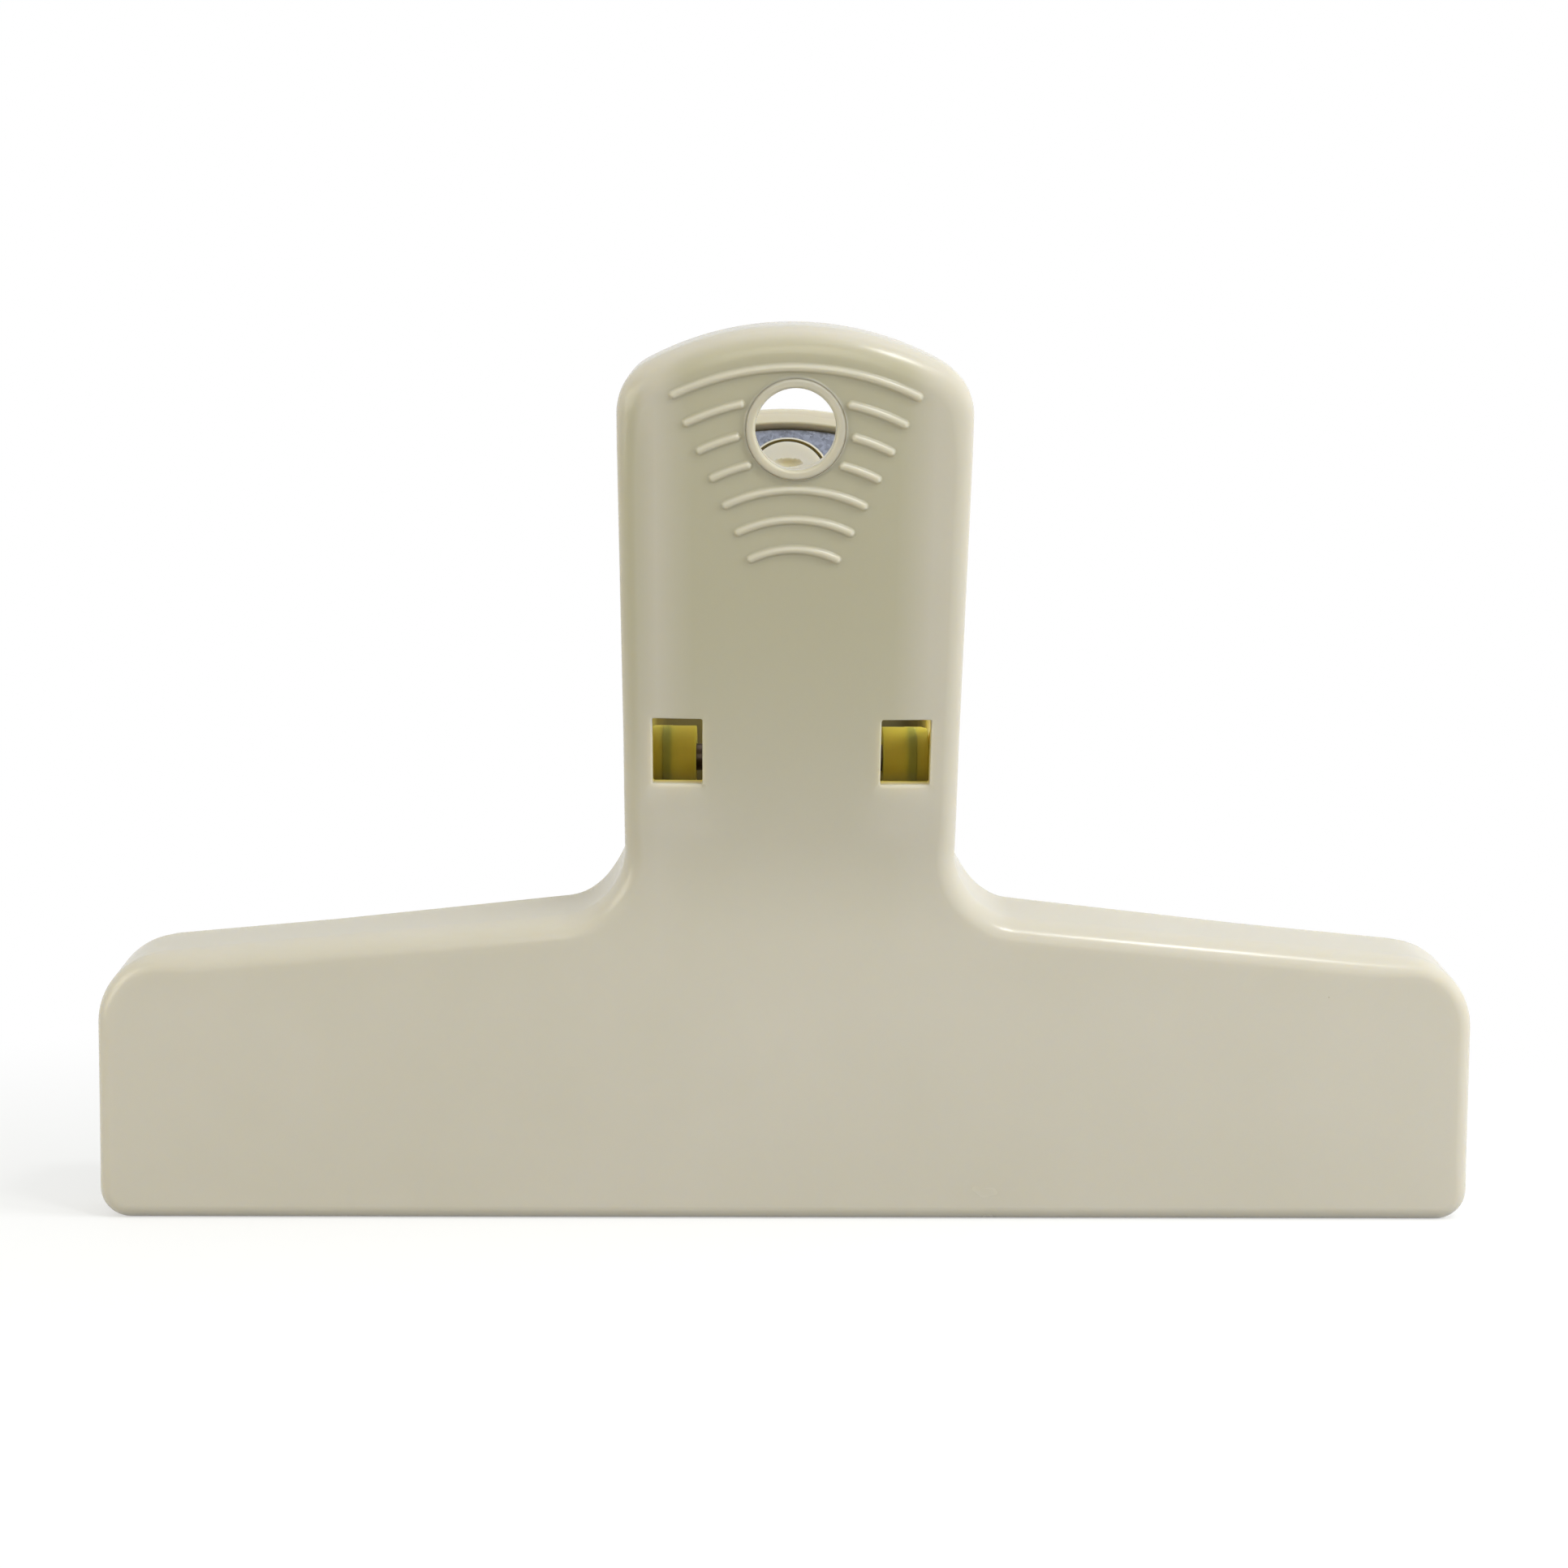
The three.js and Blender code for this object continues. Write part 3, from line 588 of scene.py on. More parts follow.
# A plate between t0 and t1 with softened edges.
def addSlab(shell, outer, holes, t0, t1, edge, axes, recess):
    flat, thick = list(axes[:2]), axes[2]
    turns = [(t0, -1, t) for t in np.linspace(0, quarter, fineness["rimTurns"])]
    turns += [(t1, 1, t) for t in np.linspace(quarter, 0, fineness["rimTurns"])]
    rims = []
    for points, normals in [outer] + [(p, -n) for p, n in holes]:
        loops = []
        for level, sign, t in turns:
            spot, face = np.zeros((len(points), 3)), np.zeros((len(points), 3))
            spot[:, flat] = points - normals * edge * (1 - math.sin(t))
            spot[:, thick] = level - sign * edge * (1 - math.cos(t))
            face[:, flat] = normals * math.sin(t)
            face[:, thick] = sign * math.cos(t)
            loops.append(addPoints(shell, spot, face, recess))
        bridgeAll(shell, loops)
        rims.append(loops)
    for k in (0, -1):
        fillRegion(shell, rims[0][k], [r[k] for r in rims[1:]], flat)


# A turned solid: a profile of (radius, t) about the line through centre.
def addTurned(shell, profile, centre, axes, sides, recess, closed=False):
    flat, thick = list(axes[:2]), axes[2]
    profile = np.asarray(profile, float)
    ahead = np.roll(profile, -1, 0) - profile
    behind = profile - np.roll(profile, 1, 0)
    if not closed:
        ahead[-1], behind[0] = behind[-1], ahead[0]
    circle = circleLoop(0, 0, 1, sides)[1]
    rings = []
    for (radius, t), (out, along) in zip(profile, outward(unit(ahead) + unit(behind))):
        spot, face = np.zeros((sides, 3)), np.zeros((sides, 3))
        spot[:, flat] = np.array(centre) + radius * circle
        spot[:, thick] = t
        face[:, flat] = out * circle
        face[:, thick] = along
        if radius < touching:
            rings.append(np.repeat(addPoints(shell, spot[:1], face[:1], recess), sides))
        else:
            rings.append(addPoints(shell, spot, face, recess))
    if closed:
        rings.append(rings[0])
    for low, high in zip(rings, rings[1:]):
        for i in range(sides):
            k = (i + 1) % sides
            corners = [low[i], low[k], high[k], high[i]]
            face = [c for j, c in enumerate(corners) if c != corners[j - 1]]
            if len(face) > 2:
                shell["faces"].append(tuple(face))


# A plastic tube between two radii and two levels.
def addTube(shell, centre, radii, levels, edge, axes, sides):
    (inner, outer), (low, high) = radii, levels
    profile = softProfile([(inner, low), (outer, low), (outer, high), (inner, high)], edge, closed=True)
    addTurned(shell, profile, centre, axes, sides, insideShade, closed=True)


# Turns sharp profile corners into short arcs.
def softProfile(points, radius, closed=False):
    share, steps = 0.45, 5  # the most of a side that a corner takes, and the points of its arc
    points = [np.array(p, float) for p in points]
    soft = []
    count = len(points)
    for i, p in enumerate(points):
        if not closed and i in (0, count - 1):
            soft.append(p)
            continue
        a, b = points[i - 1], points[(i + 1) % count]
        reach = min(radius, share * np.hypot(*(a - p)), share * np.hypot(*(b - p)))
        start = p + (a - p) / np.hypot(*(a - p)) * reach
        finish = p + (b - p) / np.hypot(*(b - p)) * reach
        for t in np.linspace(0, 1, steps):
            soft.append(start * (1 - t) ** 2 + 2 * p * t * (1 - t) + finish * t ** 2)
    return np.array(soft)


def polygonLoop(corners, radius):
    points = softProfile(corners, radius, closed=True)
    return points, outward(np.roll(points, -1, 0) - np.roll(points, 1, 0))


# Behind the windows, painted light and shade stand for the light that comes through the plastic: golden
# painted glow on the ears, darker painted shade on the floor. Up and across, the first value is where it
# begins to fade and the second where it ends.
windowLight = {
    "middle": (12, 3),  # of a window, across and up
    "up": (5, 10),
    "across": (3.9, 5.0),
    "darkAcross": (2.5, 5),
    "depth": (4, 9),  # in the tray, where the ears begin to be golden and are all of it
    "floor": (0.3, 0.5),  # the floor's level over the wall's inner face, and what still counts as floor
    "goldenFloor": 0.85,
    "darkFloor": 0.9,
}


def nearWindows(x, s, across):
    middleX, middleS = windowLight["middle"]
    inHeight = 1 - smoothStep(np.abs(s - middleS), *windowLight["up"])
    return inHeight * (1 - smoothStep(np.abs(np.abs(x) - middleX), *across))


def onFloor(w):
    level, reach = windowLight["floor"]
    return np.abs(w - lever["wall"] - level) < reach


def shadeInside(shell):
    x, s, w = np.concatenate(shell["points"]).T
    golden = np.maximum(smoothStep(w, *windowLight["depth"]), windowLight["goldenFloor"] * onFloor(w))
    golden = golden * nearWindows(x, s, windowLight["across"])
    shell["recess"] = [np.maximum(np.concatenate(shell["recess"]), golden)]


# painted dark shade on the back handle's floor behind the windows
def shaded(points):
    x, s, w = points.T
    return windowLight["darkFloor"] * onFloor(w) * nearWindows(x, s, windowLight["darkAcross"])


# Painted shade on the middle of the handle's face: darker and yellower higher up. Its sides, ribs and ring
# stay pale as painted light, and so does a spot below each window as a painted glow.
paintedHandleShading = {
    "up": (-25, 24),  # grows between these heights
    "overEdge": (0.1, 1.3),  # fades into the tray between these depths
    "raised": (-0.3, -0.02),  # and between these on the ribs and the ring, which keep a share of it
    "raisedShare": 0.35,
    "sides": (10.5, 14.5),
    "sidesPale": 0.8,
    "leftEdge": (15, 16.8),  # comes back at the very left
    "spot": (11.4, -3.5),
    "spotSize": (3.5, 3),
    "spotPale": 0.9,
}


def paintedHandleShade(points):
    x, s, w = points.T
    least, (spotX, spotS), (wide, tall) = paintedHandleShading["raisedShare"], paintedHandleShading["spot"], paintedHandleShading["spotSize"]
    onFace = (1 - smoothStep(w, *paintedHandleShading["overEdge"])) * (least + (1 - least) * smoothStep(w, *paintedHandleShading["raised"]))
    sides = smoothStep(np.abs(x), *paintedHandleShading["sides"]) * (1 - smoothStep(-x, *paintedHandleShading["leftEdge"]))
    spots = np.exp(-((np.abs(x) - spotX) / wide) ** 2 - ((s - spotS) / tall) ** 2)
    pale = (1 - paintedHandleShading["sidesPale"] * sides) * (1 - paintedHandleShading["spotPale"] * spots)
    return smoothStep(s, *paintedHandleShading["up"]) * onFace * pale


# Stands a shell up as an object that takes a CAD node's place. A painted glow up to 1 is golden painted
# shade, and one above 1 is a groove that gets dark painted shade instead.
def makeObject(name, shell, side, material, body, replaced):
    points = np.concatenate(shell["points"])
    normals = np.concatenate(shell["normals"])
    normals = normals / np.maximum(np.linalg.norm(normals, axis=1), tiniest)[:, None]
    recess = np.concatenate(shell["recess"])
    isLever = name in ("frontLever", "backLever")
    marks = {
        "recess": np.where(recess > 1, 0, recess),
        "paintedHandleShade": paintedHandleShade(points) if isLever else np.zeros(len(points)),
        "shaded": shaded(points) if name == "backLever" else np.clip(recess - 1, 0, 1),
    }
    if side:
        points, normals = bend(points, normals, side)
    faces = []
    for face in shell["faces"]:
        corners = points[list(face)]
        across = np.cross(corners[1] - corners[0], corners[2] - corners[0])
        if len(face) == 4:
            across = across + np.cross(corners[2] - corners[0], corners[3] - corners[0])
        faces.append(face if np.dot(across, normals[list(face)].sum(0)) >= 0 else face[::-1])
    mesh = bpy.data.meshes.new(name)
    mesh.from_pydata((points * mm).tolist(), [], [tuple(int(v) for v in f) for f in faces])
    mesh.polygons.foreach_set("use_smooth", [True] * len(mesh.polygons))
    for label, values in marks.items():
        mesh.attributes.new(label, "FLOAT", "POINT").data.foreach_set("value", values.astype(np.float32))
    mesh.update()
    mesh.normals_split_custom_set_from_vertices(normals.tolist())
    piece = placeObject(name, mesh)
    mesh.materials.append(material)
    if body:
        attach(piece, body)
    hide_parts(replaced)
    print(name, "made:", len(mesh.polygons), "faces")
    return piece


def nodeHelpers(tree):
    def add(kind, **settings):
        node = tree.nodes.new(kind)
        for key, value in settings.items():
            setattr(node, key, value)
        return node

    def link(a, b):
        tree.links.new(a, b)

    return add, link


# Empties the nodes of a material or a world, to be filled anew.
def freshNodes(owner):
    owner.use_nodes = True
    owner.node_tree.nodes.clear()
    return nodeHelpers(owner.node_tree)


# Uneven colour, roughness and height of a moulded or rolled surface.
def surfaceGroup():
    centre, grainLift = 0.5, 0.02  # the mottle's middle, and what the grain adds to the height
    inputs = {
        "Mottle Size": 12.0,
        "Grain Size": 0.35,
        "Waves": 0.4,
        "Roughness": 0.3,
        "Roughness Spread": 0.05,
    }
    group = bpy.data.node_groups.new("surfaceUnevenness", "ShaderNodeTree")
    for name, value in inputs.items():
        socket = group.interface.new_socket(name, in_out="INPUT", socket_type="NodeSocketFloat")
        socket.default_value = value
    for name in ("Mottle", "Grain", "Roughness", "Height"):
        group.interface.new_socket(name, in_out="OUTPUT", socket_type="NodeSocketFloat")
    add, link = nodeHelpers(group)
    source = add("NodeGroupInput")
    result = add("NodeGroupOutput")
    coords = add("ShaderNodeTexCoord")
    for size, label, detail in (("Mottle Size", "Mottle", 3.0), ("Grain Size", "Grain", 2.0)):
        scale = add("ShaderNodeMath", operation="DIVIDE")
        scale.inputs[0].default_value = metre
        link(source.outputs[size], scale.inputs[1])
        noise = add("ShaderNodeTexNoise", name=label)
        noise.inputs["Detail"].default_value = detail
        link(coords.outputs["Object"], noise.inputs["Vector"])
        link(scale.outputs[0], noise.inputs["Scale"])
        link(noise.outputs["Fac"], result.inputs[label])
    mottle, grain = group.nodes["Mottle"], group.nodes["Grain"]
    spread = add("ShaderNodeMath", operation="MULTIPLY_ADD")
    centred = add("ShaderNodeMath", operation="SUBTRACT")
    centred.inputs[1].default_value = centre
    link(mottle.outputs["Fac"], centred.inputs[0])
    link(centred.outputs[0], spread.inputs[0])
    link(source.outputs["Roughness Spread"], spread.inputs[1])
    link(source.outputs["Roughness"], spread.inputs[2])
    link(spread.outputs[0], result.inputs["Roughness"])
    height = add("ShaderNodeMath", operation="MULTIPLY_ADD")
    link(mottle.outputs["Fac"], height.inputs[0])
    link(source.outputs["Waves"], height.inputs[1])
    fine = add("ShaderNodeMath", operation="MULTIPLY")
    fine.inputs[1].default_value = grainLift
    link(grain.outputs["Fac"], fine.inputs[0])
    link(fine.outputs[0], height.inputs[2])
    link(height.outputs[0], result.inputs["Height"])
    return group


unevenness = surfaceGroup()

ivory = {
    "color": (0.56, 0.53, 0.465),
    "cloud": (0.525, 0.497, 0.42),
    # painted shade on the handle's face
    "paintedHandleShadeColor": (0.44, 0.415, 0.305),
    # painted shade, on the floor behind the windows and in the rivet's groove
    "paintedShadeColor": (0.115, 0.092, 0.03),
    # painted golden shade inside the tray, for light that comes through the plastic
    "recessColor": (0.66, 0.51, 0.05),
    "recessRoughness": 0.75,
    "speckColor": (0.22, 0.18, 0.11),
    "mottleSize": 16.0,
    "grainSize": 0.3,
    "waves": 0.25,
    "roughness": 0.25,
    "roughnessSpread": 0.1,
    "bump": 0.35,
    "ior": 1.5,
    "glow": 0.8,  # light that travels inside the plastic, and how far, in mm
    "glowReach": (2.0, 1.7, 1.1),
    "specks": {"scale": 60, "size": 0.013, "strength": 0.5},  # cells in a metre, and a speck's share of one
}


def mixColor(add, link, factor, first, second):
    mix = add("ShaderNodeMix", data_type="RGBA")
    for socket, value in ((mix.inputs[0], factor), (mix.inputs[6], first), (mix.inputs[7], second)):
        if isinstance(value, (int, float)):
            socket.default_value = value
        elif isinstance(value, tuple):
            socket.default_value = (*value, 1)
        else:
            link(value, socket)
    return mix.outputs[2]


def placeUnevenness(add, finish):
    node = add("ShaderNodeGroup")
    node.node_tree = unevenness
    names = {
        "Mottle Size": "mottleSize",
        "Grain Size": "grainSize",
        "Waves": "waves",
        "Roughness": "roughness",
        "Roughness Spread": "roughnessSpread",
    }
    for socket, key in names.items():
        node.inputs[socket].default_value = finish[key]
    return node


def startMaterial(name, finish):
    bumpHeight = 0.0002  # metres
    material = bpy.data.materials.new(name)
    add, link = freshNodes(material)
    output = add("ShaderNodeOutputMaterial")
    shader = add("ShaderNodeBsdfPrincipled")
    link(shader.outputs[0], output.inputs["Surface"])
    uneven = placeUnevenness(add, finish)
    link(uneven.outputs["Roughness"], shader.inputs["Roughness"])
    bump = add("ShaderNodeBump")
    bump.inputs["Strength"].default_value = finish["bump"]
    bump.inputs["Distance"].default_value = bumpHeight
    link(uneven.outputs["Height"], bump.inputs["Height"])
    link(bump.outputs[0], shader.inputs["Normal"])
    return material, add, link, shader, uneven


# Small cells over a surface, some of which become specks or spangles.
def addCells(add, link, scale):
    coords = add("ShaderNodeTexCoord")
    cells = add("ShaderNodeTexVoronoi", feature="F1")
    cells.inputs["Scale"].default_value = scale
    link(coords.outputs["Object"], cells.inputs["Vector"])
    return cells


def ivoryMaterial():
    material, add, link, shader, uneven = startMaterial("ivoryPlastic", ivory)
    color = mixColor(add, link, uneven.outputs["Mottle"], ivory["color"], ivory["cloud"])
    marks = {}
    for label, tint in (("paintedHandleShade", "paintedHandleShadeColor"), ("recess", "recessColor"), ("shaded", "paintedShadeColor")):
        marks[label] = add("ShaderNodeAttribute", attribute_name=label)
        color = mixColor(add, link, marks[label].outputs["Fac"], color, ivory[tint])
    rough = add("ShaderNodeMapRange")
    rough.inputs["To Max"].default_value = ivory["recessRoughness"]
    link(marks["recess"].outputs["Fac"], rough.inputs["Value"])
    link(uneven.outputs["Roughness"], rough.inputs["To Min"])
    link(rough.outputs[0], shader.inputs["Roughness"])
    # a few dark specks in the plastic
    specks = ivory["specks"]
    cells = addCells(add, link, specks["scale"])
    near = add("ShaderNodeMath", operation="LESS_THAN")
    near.inputs[1].default_value = specks["size"]
    link(cells.outputs["Distance"], near.inputs[0])
    speck = add("ShaderNodeMath", operation="MULTIPLY")
    speck.inputs[1].default_value = specks["strength"]
    link(near.outputs[0], speck.inputs[0])
    color = mixColor(add, link, speck.outputs[0], color, ivory["speckColor"])
    link(color, shader.inputs["Base Color"])
    shader.inputs["IOR"].default_value = ivory["ior"]
    shader.inputs["Subsurface Weight"].default_value = ivory["glow"]
    shader.inputs["Subsurface Radius"].default_value = ivory["glowReach"]
    shader.inputs["Subsurface Scale"].default_value = mm
    return material


zinc = {
    "color": (0.26, 0.28, 0.34),
    "dark": (0.05, 0.055, 0.065),
    "mottleSize": 1.2,
    "grainSize": 0.12,
    "waves": 0.5,
    "roughness": 0.34,
    "roughnessSpread": 0.3,
    "bump": 0.35,
}
wireSteel = {
    "color": (0.34, 0.35, 0.37),
    "dark": (0.17, 0.17, 0.18),
    "mottleSize": 2.5,
    "grainSize": 0.15,
    "waves": 0.3,
    "roughness": 0.36,
    "roughnessSpread": 0.2,
    "bump": 0.35,
}
pinSteel = {
    "color": (0.15, 0.12, 0.10),
    "dark": (0.06, 0.045, 0.035),
    "mottleSize": 2.0,
    "grainSize": 0.2,
    "waves": 0.2,
    "roughness": 0.42,
    "roughnessSpread": 0.15,
    "bump": 0.35,
}


# Metal with spangles, each three grains wide.
def metalMaterial(name, finish):
    material, add, link, shader, uneven = startMaterial(name, finish)
    cells = addCells(add, link, metre / finish["grainSize"] / 3)
    spangle = add("ShaderNodeSeparateColor")
    link(cells.outputs["Color"], spangle.inputs[0])
    color = mixColor(add, link, uneven.outputs["Mottle"], finish["color"], finish["dark"])
    color = mixColor(add, link, spangle.outputs[0], color, finish["color"])
    link(color, shader.inputs["Base Color"])
    shader.inputs["Metallic"].default_value = 1
    return material


ferrite = {
    "color": (0.045, 0.045, 0.048),
    "dust": (0.10, 0.10, 0.105),
    "mottleSize": 3.0,
    "grainSize": 0.25,
    "waves": 0.6,
    "roughness": 0.62,
    "roughnessSpread": 0.2,
    "bump": 0.6,
}


def ferriteMaterial():
    material, add, link, shader, uneven = startMaterial("ferrite", ferrite)
    color = mixColor(add, link, uneven.outputs["Grain"], ferrite["color"], ferrite["dust"])
    link(color, shader.inputs["Base Color"])
    return material


plastic = ivoryMaterial()
zincPlate = metalMaterial("zincPlate", zinc)
springSteel = metalMaterial("springSteel", wireSteel)
rodSteel = metalMaterial("pinSteel", pinSteel)
magnetGrey = ferriteMaterial()
print("materials made")

hangHole = {
    "radius": 4.1,
    "height": 38.0,
    "sides": 96,
    "innerEdge": 0.25,
    "ring": {"width": 1.0, "height": 0.36, "soft": 0.34, "foot": 0.32},  # soft: its top's rounding
}
windows = {
    "inner": 9.45,
    "width": 5.3,
    "bottom": 0.5,
    "height": 7.2,
    "corner": 0.2,
    "edge": 0.16,
    "innerEdge": 0.25,
    "sill": 2.2,  # the softened lower edge: its height and depth, and how quickly it gives way to the sides
    "sillDepth": 0.42,
    "sillPower": 1.5,
}
ribs = {
    "count": 7,
    "outerRadius": 28.5,
    "pitch": 3.05,
    "fan": 25.5,  # degrees to either side
    "gap": 0.08,  # between a rib's end and the ring's foot
    # half the width at each height, from the foot up
    "profile": [(0.58, 0), (0.51, 0.02), (0.44, 0.07), (0.38, 0.15),
                (0.31, 0.24), (0.23, 0.31), (0.14, 0.36), (0.05, 0.38)],
    "endTurns": 9,
}


def windowCut(sideX):
    near, far = windows["inner"], windows["inner"] + windows["width"]
    low, high = windows["bottom"], windows["bottom"] + windows["height"]
    x0, x1 = (near, far) if sideX > 0 else (-far, -near)
    points, normals = rectangleLoop(x0, x1, low, high, windows["corner"])
    down = np.clip(-normals[:, 1], 0, 1) ** windows["sillPower"]
    edge = windows["edge"]
    return {
        "loop": (points, normals),
        "edge": edge + (windows["sill"] - edge) * down,
        "sink": edge + (windows["sillDepth"] - edge) * down,
        "inner": windows["innerEdge"],
        # the window's inner walls get the full painted golden shade
        "shade": 1.0,
    }


# One raised arc with round ends; gives back its foot, a hole for the face to leave open.
def addRib(shell, radius, start, finish):
    steps = int((finish - start) * radius / fineness["ribStep"]) + 2
    along = np.linspace(start, finish, steps)
    turns = np.linspace(0, math.pi, ribs["endTurns"])[1:-1]
    middle = np.column_stack([np.cos(along), np.sin(along)])
    spine = np.array([0, frontFan]) + radius * middle

    def end(angle):
        out = np.array([math.cos(angle), math.sin(angle)])
        return np.cos(turns)[:, None] * out + np.sin(turns)[:, None] * np.array([-out[1], out[0]])

    out = np.concatenate([middle, end(finish), -middle[::-1], -end(start)])
    foot = np.concatenate([spine, np.repeat(spine[-1:], len(turns), 0), spine[::-1],
                           np.repeat(spine[:1], len(turns), 0)])
    section = np.array(ribs["profile"])
    slope = outward(np.gradient(section, axis=0))
    slope[0] = (0, 1)
    loops = []
    for (half, height), (across, up) in zip(section, slope):
        spot = np.column_stack([foot + out * half, np.full(len(foot), -height)])
        loops.append(addPoints(shell, spot, np.column_stack([out * across, np.full(len(foot), -up)]), 0.0))
    bridgeAll(shell, loops)
    ridge = addPoints(shell, np.column_stack([spine, np.full(steps, -section[-1][1])]), (0, 0, -1), 0.0)
    ends = [[ridge[-1]] * len(turns), [ridge[0]] * len(turns)]
    above = np.concatenate([ridge, ends[0], ridge[::-1], ends[1]])
    last = loops[-1]
    for i in range(len(last)):
        k = (i + 1) % len(last)
        corners = [last[i], last[k], above[k], above[i]]
        shell["faces"].append(tuple(corners if above[i] != above[k] else corners[:3]))
    return loops[0]


# Radius, start and end of every arc; the ones that meet the ring stop at its foot.
def ribArcs():
    fan = math.radians(ribs["fan"])
    ring = hangHole["ring"]
    clear = hangHole["radius"] + ring["width"] + ring["foot"] + ribs["profile"][0][0] + ribs["gap"]
    rise = hangHole["height"] - frontFan
    arcs = []
    for i in range(ribs["count"]):
        radius = ribs["outerRadius"] - i * ribs["pitch"]
        cosine = (radius ** 2 + rise ** 2 - clear ** 2) / (2 * radius * rise)
        if cosine < 1:
            gap = math.acos(cosine)
            arcs.append((radius, quarter - fan, quarter - gap))
            arcs.append((radius, quarter + gap, quarter + fan))
        else:
            arcs.append((radius, quarter - fan, quarter + fan))
    return arcs


spring = {
    "wire": 1.4,
    "coilRadius": 3.3,
    "pitch": 2.0,
    "turns": 5,
    "reach": 13.5,  # from the hinge up to the seats
    "foot": 2.4,  # the bent end that stands in a seat
    "seatGap": 0.3,
    "seatHeight": 1.2,
    "seatWidth": 1.2,
    "seatClearance": 0.5,
    "seatEdge": 0.25,
    "seatSides": 40,
    "footPoints": 12,
    "legPoints": 40,
    "turnPoints": 40,
    "kneeSoftening": 6,  # how often the knee is drawn toward its neighbours, and the whole wire
    "wireSoftening": 2,
    "ends": (0.02, 0.75),  # the wire's ends close in these shares of its radius
    "sides": 16,
}


# Foot, knee and the angle at which a leg leaves the coil, in its own plane.
def springLeg():
    lean = math.radians(lever["paddleLean"])

    def atDepth(w):
        drop = lever["hingeDepth"] - w
        return np.array([drop * math.cos(lean) + spring["reach"] * math.sin(lean),
                         spring["reach"] * math.cos(lean) - drop * math.sin(lean)])

    foot = atDepth(lever["wall"] + spring["seatGap"])
    knee = atDepth(lever["wall"] + spring["seatGap"] + spring["foot"])
    return foot, knee, math.atan2(knee[1], knee[0]) - math.acos(spring["coilRadius"] / np.hypot(*knee))


def springAngle():
    return (spring["turns"] * 2 + 1) * math.pi + 2 * springLeg()[2]


def wireHalf():
    return springAngle() / (2 * math.pi) * spring["pitch"] / 2


def addSpringSeat(shell, x):
    hole = spring["wire"] / 2 + spring["seatClearance"]
    radii = (hole, hole + spring["seatWidth"])
    levels = (lever["wall"] - lever["sunk"], lever["wall"] + spring["seatHeight"])
    addTube(shell, (x, spring["reach"]), radii, levels, spring["seatEdge"], throughFace, spring["seatSides"])


def frontLever():
    shell = newShell()
    hole = {
        "loop": circleLoop(0, hangHole["height"], hangHole["radius"], hangHole["sides"]),
        "edge": 0.0,
        "inner": hangHole["innerEdge"],
        "ring": hangHole["ring"],
    }
    addTray(shell, frontReach, True, [hole, windowCut(1), windowCut(-1)], ribArcs())
    shadeInside(shell)
    addSpringSeat(shell, -wireHalf())
    return makeObject("frontLever", shell, -1, plastic, "front", "front_lever")


frontLever()

backFittings = {
    "earThickness": 2.4,
    "earGap": 0.4,  # to the front lever's ear
    "earEdge": 0.25,
    "webCorner": 0.4,
    "webEdge": 0.2,
    "webSunk": 0.05,
    "barrelRadius": 3.5,
    "barrelSink": 1.0,  # how far the barrel runs into the ear
    "barrelLength": 2.7,
    "barrelEdge": 0.1,
    "barrelSides": 48,
    "pocket": (22.6, 19.6, 34.2),  # width, bottom, top
    "corner": 0.8,
    "collar": 1.3,
    "collarTop": 6.0,
    "collarEdge": 0.2,
    "rivetHeight": 37.9,
    "shankHole": 2.3,
    "bossRadius": 5.0,
    "bossSides": 64,
    "tailHole": 3.4,  # radius of the well for the rivet's tail, and where its floor lies
    "tailDepth": 1.5,
    "hookFoot": 16.8,
    "hookThickness": 1.2,
    "hookLip": 1.4,
    "hookWidth": 9.0,
    "hookUnder": 7.0,
    "hookTop": 7.9,
    "hookCorner": 0.25,
    "hookEdge": 0.12,
    "cutEdges": {"edge": 0.1, "inner": 0.08},
}


def addBackEar(shell, sideX):
    f = backFittings
    far = paddleHalf - lever["wall"] - f["earGap"]
    near = far - f["earThickness"]
    foot = lever["earFoot"]
    low, high = lever["wall"] - lever["sunk"], lever["paddleDepth"] - lever["wall"]
    top = earRim()[1:-1]  # the ear goes on past its feet, into the wall
    outline = np.concatenate([[[foot, low]], top[::-1], [[-foot, low]]])
    loop = (outline, outward(np.roll(outline, -1, 0) - np.roll(outline, 1, 0)))
    hole = circleLoop(0, lever["hingeDepth"], pinHole["radius"], pinHole["sides"])
    x0, x1 = sorted((sideX * near, sideX * far))
    addSlab(shell, loop, [hole], x0, x1, f["earEdge"], acrossClip, insideShade)
    web = polygonLoop([(-foot, low), (foot, low), (foot, high), (-foot, high)], f["webCorner"])
    x0, x1 = sorted((sideX * (near + f["webSunk"]), sideX * (paddleHalf - lever["wall"] / 2)))
    addSlab(shell, web, [], x0, x1, f["webEdge"], acrossClip, insideShade)
    levels = sorted((sideX * (near - f["barrelLength"]), sideX * (near + f["barrelSink"])))
    radii = (pinHole["radius"], f["barrelRadius"])
    addTube(shell, (0, lever["hingeDepth"]), radii, levels, f["barrelEdge"], acrossClip, f["barrelSides"])


def addHook(shell):
    f = backFittings
    near, far = f["hookFoot"], f["hookFoot"] + f["hookThickness"]
    lip, low = far + f["hookLip"], lever["wall"] - lever["sunk"]
    under, top, half = f["hookUnder"], f["hookTop"], f["hookWidth"] / 2
    outline = [(near, low), (far, low), (far, under), (lip, under), (lip, top), (near, top)]
    loop = polygonLoop(outline, f["hookCorner"])
    addSlab(shell, loop, [], -half, half, f["hookEdge"], acrossClip, insideShade)


